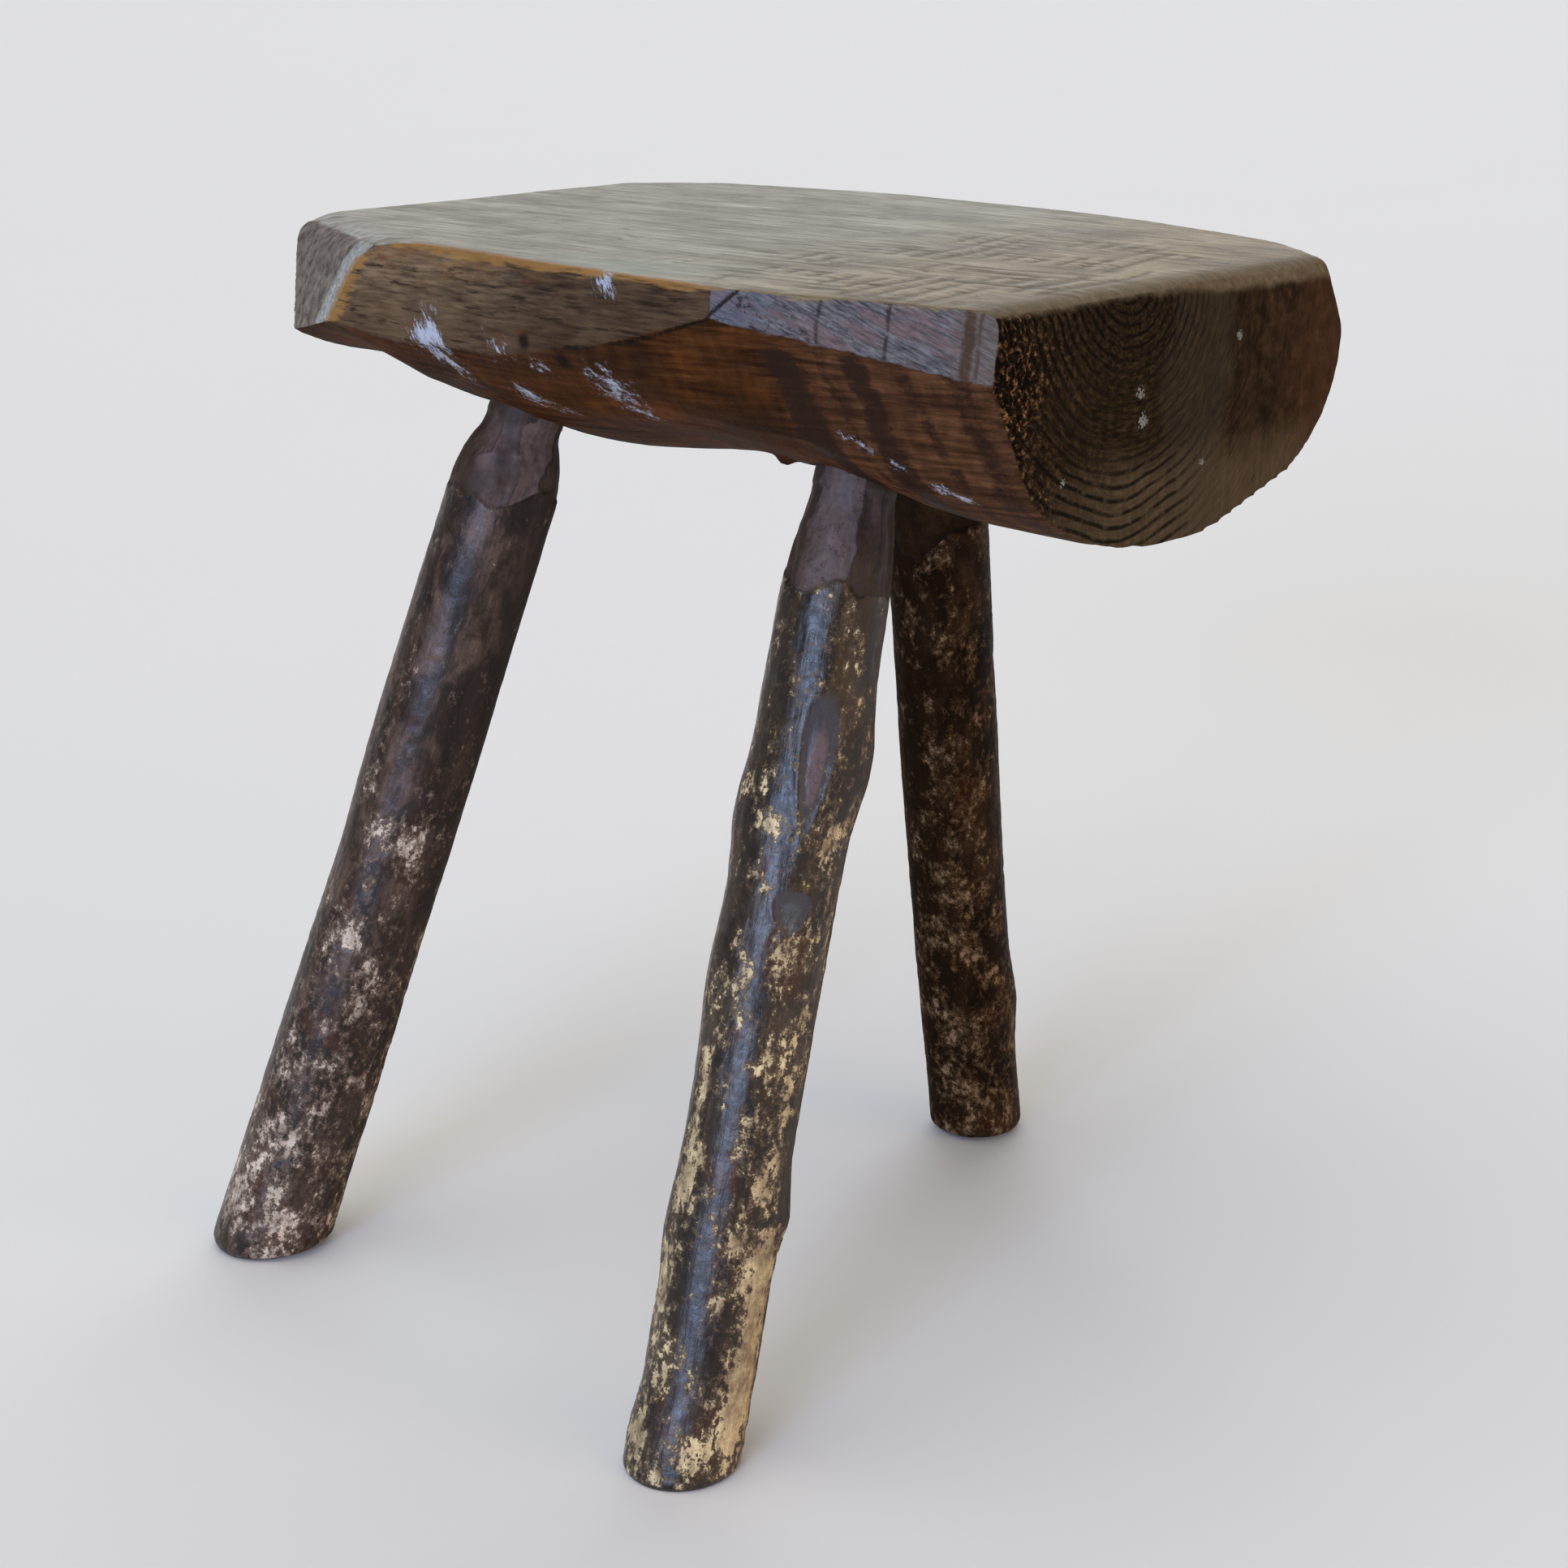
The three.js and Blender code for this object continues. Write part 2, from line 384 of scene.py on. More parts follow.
def rounded_edge(points, plane_a, plane_b, radius):
    """Moves points near the edge between two planes onto a rounding tangent to both."""
    normal_a, offset_a = plane_a
    normal_b, offset_b = plane_b
    cosine = normal_a @ normal_b
    into_a = radius - (offset_a - points @ normal_a)
    into_b = radius - (offset_b - points @ normal_b)
    share_a = (into_a - cosine * into_b) / (1 - cosine ** 2)
    share_b = (into_b - cosine * into_a) / (1 - cosine ** 2)
    reach = share_a[:, None] * normal_a + share_b[:, None] * normal_b
    length = np.linalg.norm(reach, axis=1)
    inside = (share_a > 0) & (share_b > 0) & (length > radius)
    moved = points.copy()
    moved[inside] += reach[inside] * (radius / length[inside] - 1)[:, None]
    return moved


def edge_distance(points, plane_a, plane_b):
    """Distance from the edge between two planes that are about square to each other."""
    return np.hypot(plane_a[1] - points @ plane_a[0], plane_b[1] - points @ plane_b[0])


def split_fine_faces(mesh, tree, names):
    """Halves the mesh spacing on the faces whose detail is finest."""
    work = bmesh.new()
    work.from_mesh(mesh)
    chosen = set()
    for face in work.faces:
        index = tree.find_nearest(face.calc_center_median())[2]
        if names[index] in FINE_FACES:
            chosen.update(face.edges)
    bmesh.ops.subdivide_edges(work, edges=list(chosen), cuts=1, use_grid_fill=True)
    bmesh.ops.triangulate(work, faces=[f for f in work.faces if len(f.verts) > 4])
    work.to_mesh(mesh)
    work.free()


def remeshed_seat():
    work = bpy.data.objects.new("seat_work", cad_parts["seat"].data.copy())
    bpy.context.scene.collection.objects.link(work)
    remesh = work.modifiers.new("even", "REMESH")
    remesh.mode = "VOXEL"
    remesh.voxel_size = SEAT_VOXEL
    graph = bpy.context.evaluated_depsgraph_get()
    mesh = bpy.data.meshes.new_from_object(work.evaluated_get(graph))
    bpy.data.objects.remove(work)
    return mesh


def socket_clearance(points, axes):
    """Distance outside the nearest leg's socket wall."""
    best = np.full(len(points), 1.0)
    for axis in axes.values():
        out = points - axis["foot"]
        along = out @ axis["up"]
        away = np.linalg.norm(out - along[:, None] * axis["up"], axis=1)
        best = np.minimum(best, away - TENON_RADIUS)
    return best


def face_shares(points, tree, names, pairs):
    """How much of each hewn face every vertex belongs to, softened over a few millimetres."""
    found = np.array([names[tree.find_nearest(p)[2]] for p in points], dtype=object)
    shares = {}
    for name in (*HEWN_FACES, "log"):
        shares[name] = relaxed((found == name).astype(float), pairs, 2)
    return shares


# Cracks in the seat, as broken lines: a long one along the band, and short ones in the band and the facet
CRACKS = [
    [(12, -92, 325), (34, -93, 327.5), (56, -93.5, 332.5), (79, -95.5, 340), (90, -93, 349.5)],
    [(-80, -80, 343), (-66, -80, 341), (-55, -81, 342)],
    [(-21, -89, 344), (-10, -90, 345), (-1, -90.5, 344)],
    [(-36, -87.5, 338), (-26, -88, 336.5), (-15, -89, 336.5)],
    [(18.7, -91, 337.5), (18.5, -91, 342), (24, -91.5, 345), (40, -92.5, 346)],
]
# Places along the seat of the upright saw kerfs in the facet
KERFS = (116.5, 138, 161.5, 166)
NO_KERF = 9.0
# Dark scraped strokes that run down round the log: place along it, lean, width, strength
STROKES = [
    (101, 0.21, 6.5, 0.9),
    (114, 0.26, 2.4, 0.5),
    (126, 0.17, 5.2, 0.8),
    (142, 0.22, 3.0, 0.5),
    (160, 0.10, 5.0, 0.55),
]
STROKE_TOP = 333
# Degrees by which the fibres of the facet fall to the right
FIBRE_SLOPE = 19
# Chalky scuffs, and painted highlights along the log's lower ridge: start, end, width, strength
SCUFFS_AND_HIGHLIGHTS = [
    ((-50, -87, 322), (-37, -78, 309), 8.0, 1.2),
    ((-13, -77, 306), (-1, -71, 301), 6.0, 1.0),
    ((31, -83, 315), (34, -70, 303), 8.5, 0.95),
    ((34, -91, 347), (40, -91, 341), 4.0, 0.85),
    ((-18, -89, 323), (-6, -89, 321), 5.5, 0.5),
    ((4, -88, 318), (10, -87, 314), 5.5, 0.5),
    # From here on, painted highlights where the lower ridge of the log would catch the light
    ((115, -77, 310), (121, -74, 307), 1.6, 0.95),
    ((123, -73.5, 306), (127, -72, 304), 1.3, 0.8),
    ((129, -71, 303), (135, -68.5, 300), 1.6, 0.95),
    ((139, -72, 303), (143, -70, 301), 1.3, 0.7),
    ((141, -66, 297), (152, -61.5, 292), 2.4, 1.05),
]
# Round marks: middle and width. The dead knot stands out of the log.
DEAD_KNOT = ((68, -49, 292), 3.2)
KNOTS = [((-1, -89.8, 325.5), 3.4), ((16, -90, 321.5), 4.0), ((68, -49, 292), 3.4)]
SPECKS = [
    ((172, -14.5, 320), 2.6),
    ((172, -13, 312), 3.0),
    ((120, 89.5, 350), 3.5),
    ((172, -50, 300), 1.8),
    ((172, 35, 331), 2.2),
    ((172, 18, 296), 1.8),
]


def ring_masks(points):
    """Number of growth rings from the pith, and a place measured outwards, round and along them."""
    x, y, z = points.T
    across = np.hypot(y - PITH[0], z - PITH[1])
    across += 2.4 * MM * cloud(points, mm(60, 22, 22), 31, 3)
    ring = np.log1p(RING_SPREAD * across / RING_GAP) / RING_SPREAD
    angle = np.arctan2(y - PITH[0], PITH[1] - z)
    return ring, np.stack([across, angle * 45 * MM, x], axis=1)


def crack_mask(points):
    """Millimetres from the nearest crack."""
    bent = points + 0.5 * MM * cloud(points, 4 * MM, 5, 2)[:, None]
    return np.min([path_distance(bent, np.array(line) * MM) for line in CRACKS], axis=0) / MM


def kerf_mask(points, facet):
    """Millimetres from the nearest kerf, on the facet alone."""
    drift = 0.5 * MM * noise(points, 6 * MM, 8)
    kerf = np.min([np.abs(points[:, 0] - place * MM + drift) for place in KERFS], axis=0) / MM
    return np.where(facet > 0.5, np.minimum(kerf, NO_KERF), NO_KERF)


def hatch_mask(points, top, right_back):
    """Crossed tool marks on the right half of the top: above 0 pressed, below 0 raised."""
    x, y, _ = points.T
    flat = points * np.array((1, 1, 0))
    drift = 1.3 * noise(flat, 34 * MM, 12)
    rows = 2 * math.pi * (x + 0.14 * y) / (9.5 * MM) + 2.6 * noise(flat, mm(26, 60, 1), 2) + drift
    lanes = 2 * math.pi * (y - 0.10 * x) / (7.5 * MM) + 2.6 * noise(flat, mm(70, 22, 1), 3) + drift
    rows, lanes = np.sin(rows), np.sin(lanes)
    row_share = smooth(noise(flat, mm(17, 13, 1), 18), -0.35, 0.35)
    lane_share = smooth(noise(flat, mm(26, 10, 1), 19), -0.35, 0.35)
    pressed = np.maximum(smooth(rows, 0.35, 0.95) * row_share, smooth(lanes, 0.45, 0.97) * lane_share)
    raised = np.maximum(smooth(-rows, 0.45, 0.98) * row_share, smooth(-lanes, 0.5, 0.98) * lane_share)
    spread = smooth(x, -10 * MM, 75 * MM) * smooth(y, -95 * MM, -70 * MM)
    behind = right_back[1] - points @ right_back[0]
    spread *= smooth(behind, 2 * MM, 16 * MM) * smooth(x, 170 * MM, 158 * MM)
    spread *= 0.15 + 0.85 * smooth(y, 95 * MM, 40 * MM)
    return (pressed - 0.8 * raised * (1 - pressed)) * spread * top


def rim_mask(points, planes):
    """The worn front edges of the top and the chamfer."""
    gap = edge_distance(points, planes["top"], planes["band"])
    gap = np.minimum(gap, edge_distance(points, planes["top"], planes["facet"]) + 1.3 * MM)
    gap = np.minimum(gap, edge_distance(points, planes["chamfer"], planes["band"]) + 1.2 * MM)
    gap += 0.8 * MM * noise(points, 22 * MM, 53)
    return 1 - smooth(gap + 1.1 * MM * cloud(points, mm(9, 4, 4), 51, 3), 0.6 * MM, 3.8 * MM)


def worn_top_mask(points, shares):
    """The weathered wood of the top, which runs a little way over its rounded edges."""
    _, y, z = points.T
    over = z + 1.5 * MM * cloud(points, 6 * MM, 52, 4)
    over += 3.5 * MM * smooth(y, -10 * MM, 40 * MM) * (1 - shares["left_end"])
    over = smooth(over, 344.5 * MM, 350.5 * MM)
    over *= shares["right_end"] + shares["chamfer"] + shares["left_end"] + shares["right_back"]
    return np.clip(shares["top"] + over, 0, 1)


def stroke_mask(points):
    x, _, z = points.T / MM
    drop = STROKE_TOP - z
    ragged = 3.2 * cloud(points, mm(8, 8, 14), 41, 4, 0.6)
    found = np.zeros(len(points))
    for place, lean, width, strength in STROKES:
        away = np.abs(x - place - lean * drop + ragged) / width
        found = np.maximum(found, strength * (1 - smooth(away, 0.5, 1.2)))
    return found * smooth(drop, -4, 2)


def scuff_and_highlight_mask(points):
    found = np.zeros(len(points))
    for start, end, width, strength in SCUFFS_AND_HIGHLIGHTS:
        away, part = segment_distance(points, mm(*start), mm(*end))
        wide = width * MM * (1 - 0.5 * part)
        found = np.maximum(found, strength * (1 - 0.4 * part) * np.exp(-(away / wide) ** 2))
    return found


def spots_mask(points, spots):
    found = np.zeros(len(points))
    for place, width in spots:
        away = np.linalg.norm(points - mm(*place), axis=1)
        found = np.maximum(found, np.exp(-(away / (width * MM)) ** 2))
    return found


def seat_masks(points, shares, planes):
    """Marks on the seat that the material and the relief share."""
    ring, rounded = ring_masks(points)
    return {
        "ring": ring,
        "round": rounded,
        "crack": crack_mask(points),
        "kerf": kerf_mask(points, shares["facet"]),
        "hatch": hatch_mask(points, shares["top"], planes["right_back"]),
        "rim": rim_mask(points, planes),
        "top": worn_top_mask(points, shares),
        "stroke": stroke_mask(points),
        "left": shares["left_end"] + shares["undercut"],
    }


def top_relief(points, hatch):
    """Slow dips, and shallow crossing tool marks."""
    worn = -0.4 * MM + 0.45 * MM * cloud(points, mm(60, 34, 40), 1, 3)
    scratch = 0.12 * MM * cloud(points, mm(14, 2.4, 3), 4, 3)
    return worn - 0.30 * MM * hatch + scratch


def band_relief(points):
    """Lifted fibres that run with the log, and torn pockets."""
    fibre = cloud(points, mm(34, 6, 2.2), 6, 4)
    pocket = smooth(cloud(points, mm(34, 20, 8), 7, 3), 0.12, 0.4)
    return 0.22 * MM * fibre - 0.6 * MM * pocket - 0.25 * MM


def facet_relief(points, kerf):
    """Fibres that cross the facet downwards to the right, torn at its left end and cut by upright kerfs."""
    x, y, z = points.T
    slope = math.radians(FIBRE_SLOPE)
    down_right = x * math.cos(slope) - z * math.sin(slope)
    over = x * math.sin(slope) + z * math.cos(slope)
    sawn = cloud(np.stack([down_right / 9, y, over], 1), 2.4 * MM, 9, 3)
    torn = smooth(cloud(points, mm(5, 5, 3), 10, 3), 0.08, 0.35)
    torn *= smooth(x, 128 * MM, 90 * MM) + smooth(over, 248 * MM, 240 * MM) * 0.3
    cut = 1 - smooth(kerf, 0.2, 0.9)
    return 0.26 * MM * sawn - 0.8 * MM * torn - 0.28 * MM * cut - 0.2 * MM


def end_relief(points, ring, tufts, swell):
    """Soft rings worn below hard ones, and torn fibre ends at the front."""
    y = points[:, 1]
    ring = ring % 1
    step = 1 - np.minimum(smooth(ring, 0.5, 0.7), 1 - smooth(ring, 0.85, 1))
    ragged = smooth(y, -45 * MM, -88 * MM)
    rung = 0.26 * (1 - smooth(y, -25 * MM, 15 * MM))
    return rung * MM * step + (0.12 + 0.75 * ragged) * MM * tufts + 0.4 * MM * swell - 0.55 * MM


def log_relief(points):
    """Flat adze strokes with soft ridges between them, and fine scraping."""
    strokes = -np.abs(cloud(points, mm(60, 30, 34), 16, 2))
    scrape = cloud(points, mm(30, 5, 5), 17, 3)
    return 1.7 * MM * strokes + 0.22 * MM * scrape + 0.3 * MM


def seat_relief(points, shares, masks):
    """Height of the fine relief over the CAD surface."""
    tufts = cloud(points, mm(3, 1.7, 1.7), 13, 2)
    swell = cloud(points, mm(30, 24, 24), 14, 2)
    round_side = sum(shares[name] for name in ("log", "under_facet", "left_back", "right_back"))
    height = shares["top"] * top_relief(points, masks["hatch"])
    height += shares["band"] * band_relief(points)
    height += shares["facet"] * facet_relief(points, masks["kerf"])
    height += shares["right_end"] * end_relief(points, masks["ring"], tufts, swell)
    height += masks["left"] * (0.2 * MM * tufts + 0.5 * MM * swell - 0.3 * MM)
    height += shares["chamfer"] * 0.35 * MM * cloud(points, mm(12, 12, 14), 15, 3)
    height += np.clip(round_side, 0, 1) * log_relief(points)
    height -= 0.8 * MM * (1 - smooth(masks["crack"], 0.1, 0.9))
    place, width = DEAD_KNOT
    away = np.linalg.norm(points - mm(*place), axis=1) / (width * MM)
    return height + 2.2 * MM * np.exp(-away ** 4)


def build_seat(material, axes):
    planes, names = seat_planes()
    tree = cad_tree("seat")
    mesh = remeshed_seat()
    split_fine_faces(mesh, tree, names)
    pairs = read(mesh.edges, "vertices", 2, np.int32)
    points = np.array([tree.find_nearest(p)[0] for p in coordinates(mesh)])
    shares = face_shares(points, tree, names, pairs)
    free = smooth(socket_clearance(points, axes), 0.6 * MM, 4 * MM)
    for first, second, radius in ROUNDED_EDGES:
        points = rounded_edge(points, planes[first], planes[second], radius * MM)
    points = relaxed(points, pairs, LOG_SOFTENING, 0.5 * free * shares["log"])
    points = relaxed(points, pairs, EDGE_SOFTENING, 0.5 * free)
    set_coordinates(mesh, points)
    masks = seat_masks(points, shares, planes)
    height = seat_relief(points, shares, masks) * free
    out = read(mesh.vertex_normals, "vector", 3).astype(float)
    set_coordinates(mesh, points + out * height[:, None])
    left_half = smooth(points[:, 0], 40 * MM, 5 * MM)
    blurred = relaxed(shares["band"], pairs, BAND_BLUR)
    masks["band"] = shares["band"] + (blurred - shares["band"]) * left_half
    for name in ("facet", "right_end", "chamfer"):
        masks[name] = shares[name]
    masks["scuff_and_highlight"] = scuff_and_highlight_mask(points)
    masks["knot"] = spots_mask(points, KNOTS)
    masks["speck"] = spots_mask(points, SPECKS)
    for name, values in masks.items():
        store(mesh, name, values)
    return new_piece("seat_wood", mesh, "seat", material)


# ---- Seat material ----
CHALK_AND_HIGHLIGHT = (0.47, 0.50, 0.57)
CRACK_DARK = (0.008, 0.005, 0.004)
KNOT_DARK = (0.010, 0.006, 0.005)
SPECK_GREY = (0.23, 0.23, 0.20)
CHALK_AND_HIGHLIGHT_LEAN = -0.9


class SeatShader(Shader):
    """The seat's shader, with the patterns that several of its faces share."""

    def __init__(self, name):
        super().__init__(name)
        self.x = self.dot(self.place, (1, 0, 0))
        self.y = self.dot(self.place, (0, 1, 0))
        self.z = self.dot(self.place, (0, 0, 1))
        self.fuzz = self.noise(self.place, 260, 4)
        self.speckle = self.noise(self.place, 1500, 2)
        self.slow = self.noise(self.place, 28, 3)
        self.long_grain = self.streaks(self.place, (0.035, 1, 1), 520, 4, 0.62)
        self.streak = self.streaks(self.place, (0.018, 1, 1), 900, 3, 0.62)
        self.patch = self.streaks(self.place, (0.35, 1, 1), 70, 6, 0.66)
        self.down_facet = self.turned(-math.radians(FIBRE_SLOPE))
        self.fibre = self.streaks(self.down_facet, (0.07, 1, 1), 1300, 5, 0.7)
        self.tufts = self.noise(self.place, 620, 4, 0.66)
        self.ragged = self.between(self.y + self.slow * 0.08, 0.01, -0.025)

    def zone(self, name):
        """A face's share with its border broken up."""
        return self.between(self.mask(name) + self.fuzz * 0.5, 0.55, 0.95)


def log_wood(s):
    """Scraped red-brown, duller and crossed by dark strokes towards the right end."""
    grain = s.long_grain
    colour = s.ramp(grain, 0.34, 0.66, (0.016, 0.005, 0.002), (0.047, 0.015, 0.004), (0.092, 0.033, 0.010))
    # Orange streaks, strongest at the front of the log, are painted warm bounce light
    painted_bounce_glow = s.between(s.streaks(s.place, (0.45, 1, 1), 24, 5, 0.6), 0.44, 0.62)
    painted_bounce_glow = painted_bounce_glow * s.between(s.y, 0.0, -0.05, 0.2, 0.6) * s.between(s.x, -0.03, 0.05, 0.35, 1.0)
    colour = s.mix(painted_bounce_glow, colour, (0.150, 0.044, 0.008))
    colour = s.mix(s.between(s.slow, 0.38, 0.62) * 0.65, colour, (0.021, 0.010, 0.004))
    dull = s.ramp(grain, 0.34, 0.66, (0.038, 0.017, 0.008), (0.078, 0.033, 0.015), (0.134, 0.058, 0.027))
    colour = s.mix(s.between(s.x, 0.085, 0.125) * 0.75, colour, dull)
    rubbed = s.streaks(s.place, (1, 0.35, 0.35), 260, 5, 0.66)
    colour = s.overlay(0.5, colour, s.grey(rubbed, 0.36, 0.64, 0.28, 0.72))
    torn = s.streaks(s.place, (0.5, 1, 1), 420, 5, 0.7)
    stroke = s.between(s.mask("stroke") + (torn - 0.5) * 2.0, 0.15, 0.80, 0.0, 0.88)
    return s.mix(stroke, colour, (0.022, 0.010, 0.006)), s.blend(stroke, 0.70, 0.50)


def band_wood(s):
    """Brown hewn face, paler and greyer to the left, worn orange along its top."""
    wood = s.blend(0.5, s.streak, s.patch)
    dark = s.ramp(wood, 0.38, 0.62, (0.022, 0.013, 0.008), (0.058, 0.034, 0.019), (0.110, 0.067, 0.036))
    pale = s.ramp(wood, 0.38, 0.62, (0.046, 0.030, 0.019), (0.150, 0.098, 0.056), (0.250, 0.168, 0.096))
    band = s.mix(s.between(s.x + s.slow * 0.06, 0.05, -0.01), dark, pale)
    warm = s.between(s.z, 0.332, 0.349) * s.between(s.x, 0.03, -0.05)
    warm = warm * s.between(s.streaks(s.place, (0.3, 1, 1), 110, 5, 0.7), 0.42, 0.58)
    band = s.mix(warm * 0.75, band, s.mix(s.streak, (0.10, 0.045, 0.018), (0.28, 0.145, 0.062)))
    low = s.between(s.z + s.slow * 0.03, 0.358, 0.338)
    band = s.mix(low * 0.6, band, s.mix(s.patch, (0.020, 0.009, 0.004), (0.082, 0.040, 0.020)))
    fissure = s.between(s.streaks(s.place, (0.06, 1, 1), 480, 4, 0.6), 0.56, 0.66, 0.0, 0.8)
    band = s.mix(fissure, band, (0.020, 0.011, 0.007))
    rust = s.between(s.streaks(s.place, (0.3, 1, 1), 120, 4, 0.6), 0.61, 0.68)
    return s.mix(rust * 0.4, band, (0.12, 0.034, 0.012))


def facet_wood(s):
    """Grey sawn wood with pinkish fibres, a painted bluish sheen at its left end, saw kerfs and a dark gouge
    crossing it.
    """
    facet = s.ramp(s.fibre, 0.34, 0.66, (0.036, 0.032, 0.032), (0.112, 0.103, 0.102), (0.22, 0.205, 0.205))
    pink = s.between(s.streaks(s.down_facet, (0.12, 1, 1), 230, 4, 0.6), 0.48, 0.58)
    facet = s.mix(pink * 0.65, facet, s.mix(s.fibre, (0.08, 0.045, 0.045), (0.25, 0.155, 0.150)))
    # Painted bluish sheen over the left end of the facet
    painted_blue_sheen = s.between(s.x + s.fuzz * 0.02, 0.118, 0.100)
    facet = s.mix(painted_blue_sheen * 0.35, facet, (0.12, 0.135, 0.19))
    tear = s.between(s.streaks(s.down_facet, (0.5, 1, 1), 330, 5, 0.72), 0.55, 0.63)
    facet = s.mix(tear * s.between(s.x, 0.15, 0.09, 0.3, 0.9), facet, (0.030, 0.026, 0.025))
    kerf = s.between(s.mask("kerf"), 1.0, 0.25) * s.between(s.fuzz, 0.36, 0.52, 0.3, 1.0)
    facet = s.mix(kerf * 0.85, facet, (0.036, 0.027, 0.027))
    facet = s.mix(s.between(s.x, 0.155, 0.163), facet, s.mix(0.45, facet, (0.130, 0.088, 0.060)))
    gouge = s.between(abs(s.x + s.fuzz * 0.003 - 0.1647), 0.0022, 0.0008, 0.0, 0.8)
    return s.mix(gouge, facet, s.mix(s.fuzz, (0.030, 0.014, 0.008), (0.090, 0.044, 0.022)))


def chamfer_wood(s):
    """Dark grey-brown, with a paler blue-grey strip beside the band."""
    brown = s.ramp(s.noise(s.place, 240, 6, 0.7), 0.36, 0.64, (0.072, 0.055, 0.043), (0.22, 0.182, 0.145))
    bluish = s.ramp(s.noise(s.place, 500, 5, 0.7), 0.36, 0.64, (0.18, 0.176, 0.158), (0.40, 0.395, 0.350))
    return s.mix(s.between(s.x - s.z * 0.662 + s.fuzz * 0.004, -0.3292, -0.3258), brown, bluish)


def ring_lines(s):
    """Dark growth rings, strong above and below the middle and at the front, and gone at the back."""
    ring = s.math("FRACT", s.mask("ring") + s.fuzz * 0.25)
    line = s.between(ring, 0.48, 0.72) * s.between(ring, 1.0, 0.86)
    y = s.y + s.slow * 0.03
    share = s.between(abs(s.z - 0.317) + s.slow * 0.03, 0.020, 0.034, 0.45, 1.0)
    share = s.math("MAXIMUM", share, s.between(y, 0.01, -0.04, 0.0, 0.8))
    share = share * s.between(y, 0.045, 0.010, 0.03, 1.0)
    return line * (share * s.between(s.fuzz, 0.32, 0.52, 0.35, 1.0))


def end_wood(s):
    """Olive brown end grain with dark rings, and coarse golden fibre ends at the front."""
    dash = s.streaks(s.vector("round"), (1, 0.22, 0.3), 1100, 5, 0.7)
    end = s.ramp(dash, 0.34, 0.66, (0.006, 0.003, 0.001), (0.023, 0.013, 0.005), (0.054, 0.033, 0.014))
    mottle = s.blend(0.4, s.noise(s.place, 150, 5, 0.68), s.fuzz)
    calm = s.ramp(mottle, 0.38, 0.62, (0.012, 0.006, 0.002), (0.030, 0.016, 0.007), (0.066, 0.038, 0.016))
    end = s.mix(s.between(s.y, 0.02, 0.055, 0.0, 0.8), end, calm)
    low = s.between(s.z + s.slow * 0.02, 0.318, 0.300)
    end = s.mix(low * 0.6, end, s.mix(dash, (0.048, 0.030, 0.014), (0.180, 0.128, 0.074)))
    sawn = s.streaks(s.place, (1, 1, 0.05), 420, 4, 0.6)
    end = s.overlay(0.25, end, s.grey(sawn, 0.36, 0.64, 0.2, 0.8))
    smoothed = s.between(abs(s.y + s.slow * 0.04 - 0.034), 0.022, 0.010)
    end = s.mix(smoothed * 0.3, end, s.mix(mottle, (0.030, 0.022, 0.012), (0.110, 0.088, 0.058)))
    gold = s.ramp(s.tufts, 0.44, 0.64, (0.004, 0.002, 0.001), (0.036, 0.018, 0.007), (0.31, 0.155, 0.060))
    brown = s.ramp(s.tufts, 0.38, 0.66, (0.009, 0.005, 0.003), (0.034, 0.020, 0.010), (0.100, 0.058, 0.027))
    edge = s.between(s.y + s.slow * 0.05, -0.016, -0.046)
    end = s.mix(s.ragged, end, s.mix(edge, brown, gold))
    end = s.mix(ring_lines(s) * 0.88, end, (0.004, 0.003, 0.002))
    reddish = s.between(s.y + s.slow * 0.04, 0.075, 0.105)
    return s.mix(reddish * 0.6, end, s.mix(mottle, (0.022, 0.010, 0.005), (0.115, 0.052, 0.026)))


def top_wood(s):
    """Weathered grey, warmer to the right, with painted shade in the pressed tool marks and painted
    highlights on the raised ones.
    """
    blotch = s.streaks(s.place, (0.5, 1, 1), 55, 7, 0.66)
    cool = s.ramp(blotch, 0.36, 0.64, (0.185, 0.170, 0.142), (0.300, 0.288, 0.252), (0.395, 0.385, 0.345))
    warm = s.ramp(blotch, 0.36, 0.64, (0.150, 0.118, 0.076), (0.285, 0.242, 0.172), (0.400, 0.356, 0.268))
    top = s.mix(s.between(s.x + s.slow * 0.05, 0.02, 0.17), cool, warm)
    grain = s.streaks(s.place, (0.05, 1, 1), 520, 6, 0.7)
    top = s.overlay(0.95, top, s.ramp(grain, 0.34, 0.66, (0.30, 0.28, 0.24), (0.68, 0.68, 0.67)))
    stain = s.between(s.streaks(s.place, (0.25, 1, 1), 130, 5, 0.66), 0.55, 0.66, 0.0, 0.5)
    top = s.mix(stain, top, (0.115, 0.095, 0.062))
    # Painted shade in the pressed tool marks, and painted highlights on the raised ones
    top = s.mix(s.between(s.mask("hatch"), 0.05, 0.8, 0.0, 0.58), top, (0.090, 0.074, 0.050))
    top = s.mix(s.between(s.mask("hatch"), -0.1, -0.7, 0.0, 0.6), top, (0.38, 0.345, 0.265))
    green = s.between(s.y, -0.045, -0.075) * s.between(abs(s.x - 0.03), 0.05, 0.01)
    top = s.mix(green * 0.4, top, (0.30, 0.36, 0.305))
    near_end = s.between(s.x + s.fuzz * 0.008, 0.158, 0.173, 0.0, 0.85)
    top = s.mix(near_end, top, s.mix(grain, (0.040, 0.027, 0.013), (0.190, 0.130, 0.070)))
    return top, s.between(blotch, 0.35, 0.65, 0.46, 0.62)


def with_worn_rim(s, colour):
    """Orange wood along the front edges on the left, straw-coloured on the right."""
    rim = s.between(s.mask("rim") + (s.streak - 0.5) * 2.6, 0.05, 0.75, 0.0, 0.85)
    rim = rim * s.between(s.mask("rim"), 0.02, 0.25)
    gilt = s.mix(s.patch, (0.10, 0.043, 0.014), (0.48, 0.25, 0.075))
    straw = s.mix(s.streak, (0.060, 0.040, 0.018), (0.38, 0.295, 0.15))
    return s.mix(rim, colour, s.mix(s.between(s.x, 0.06, 0.10), gilt, straw))


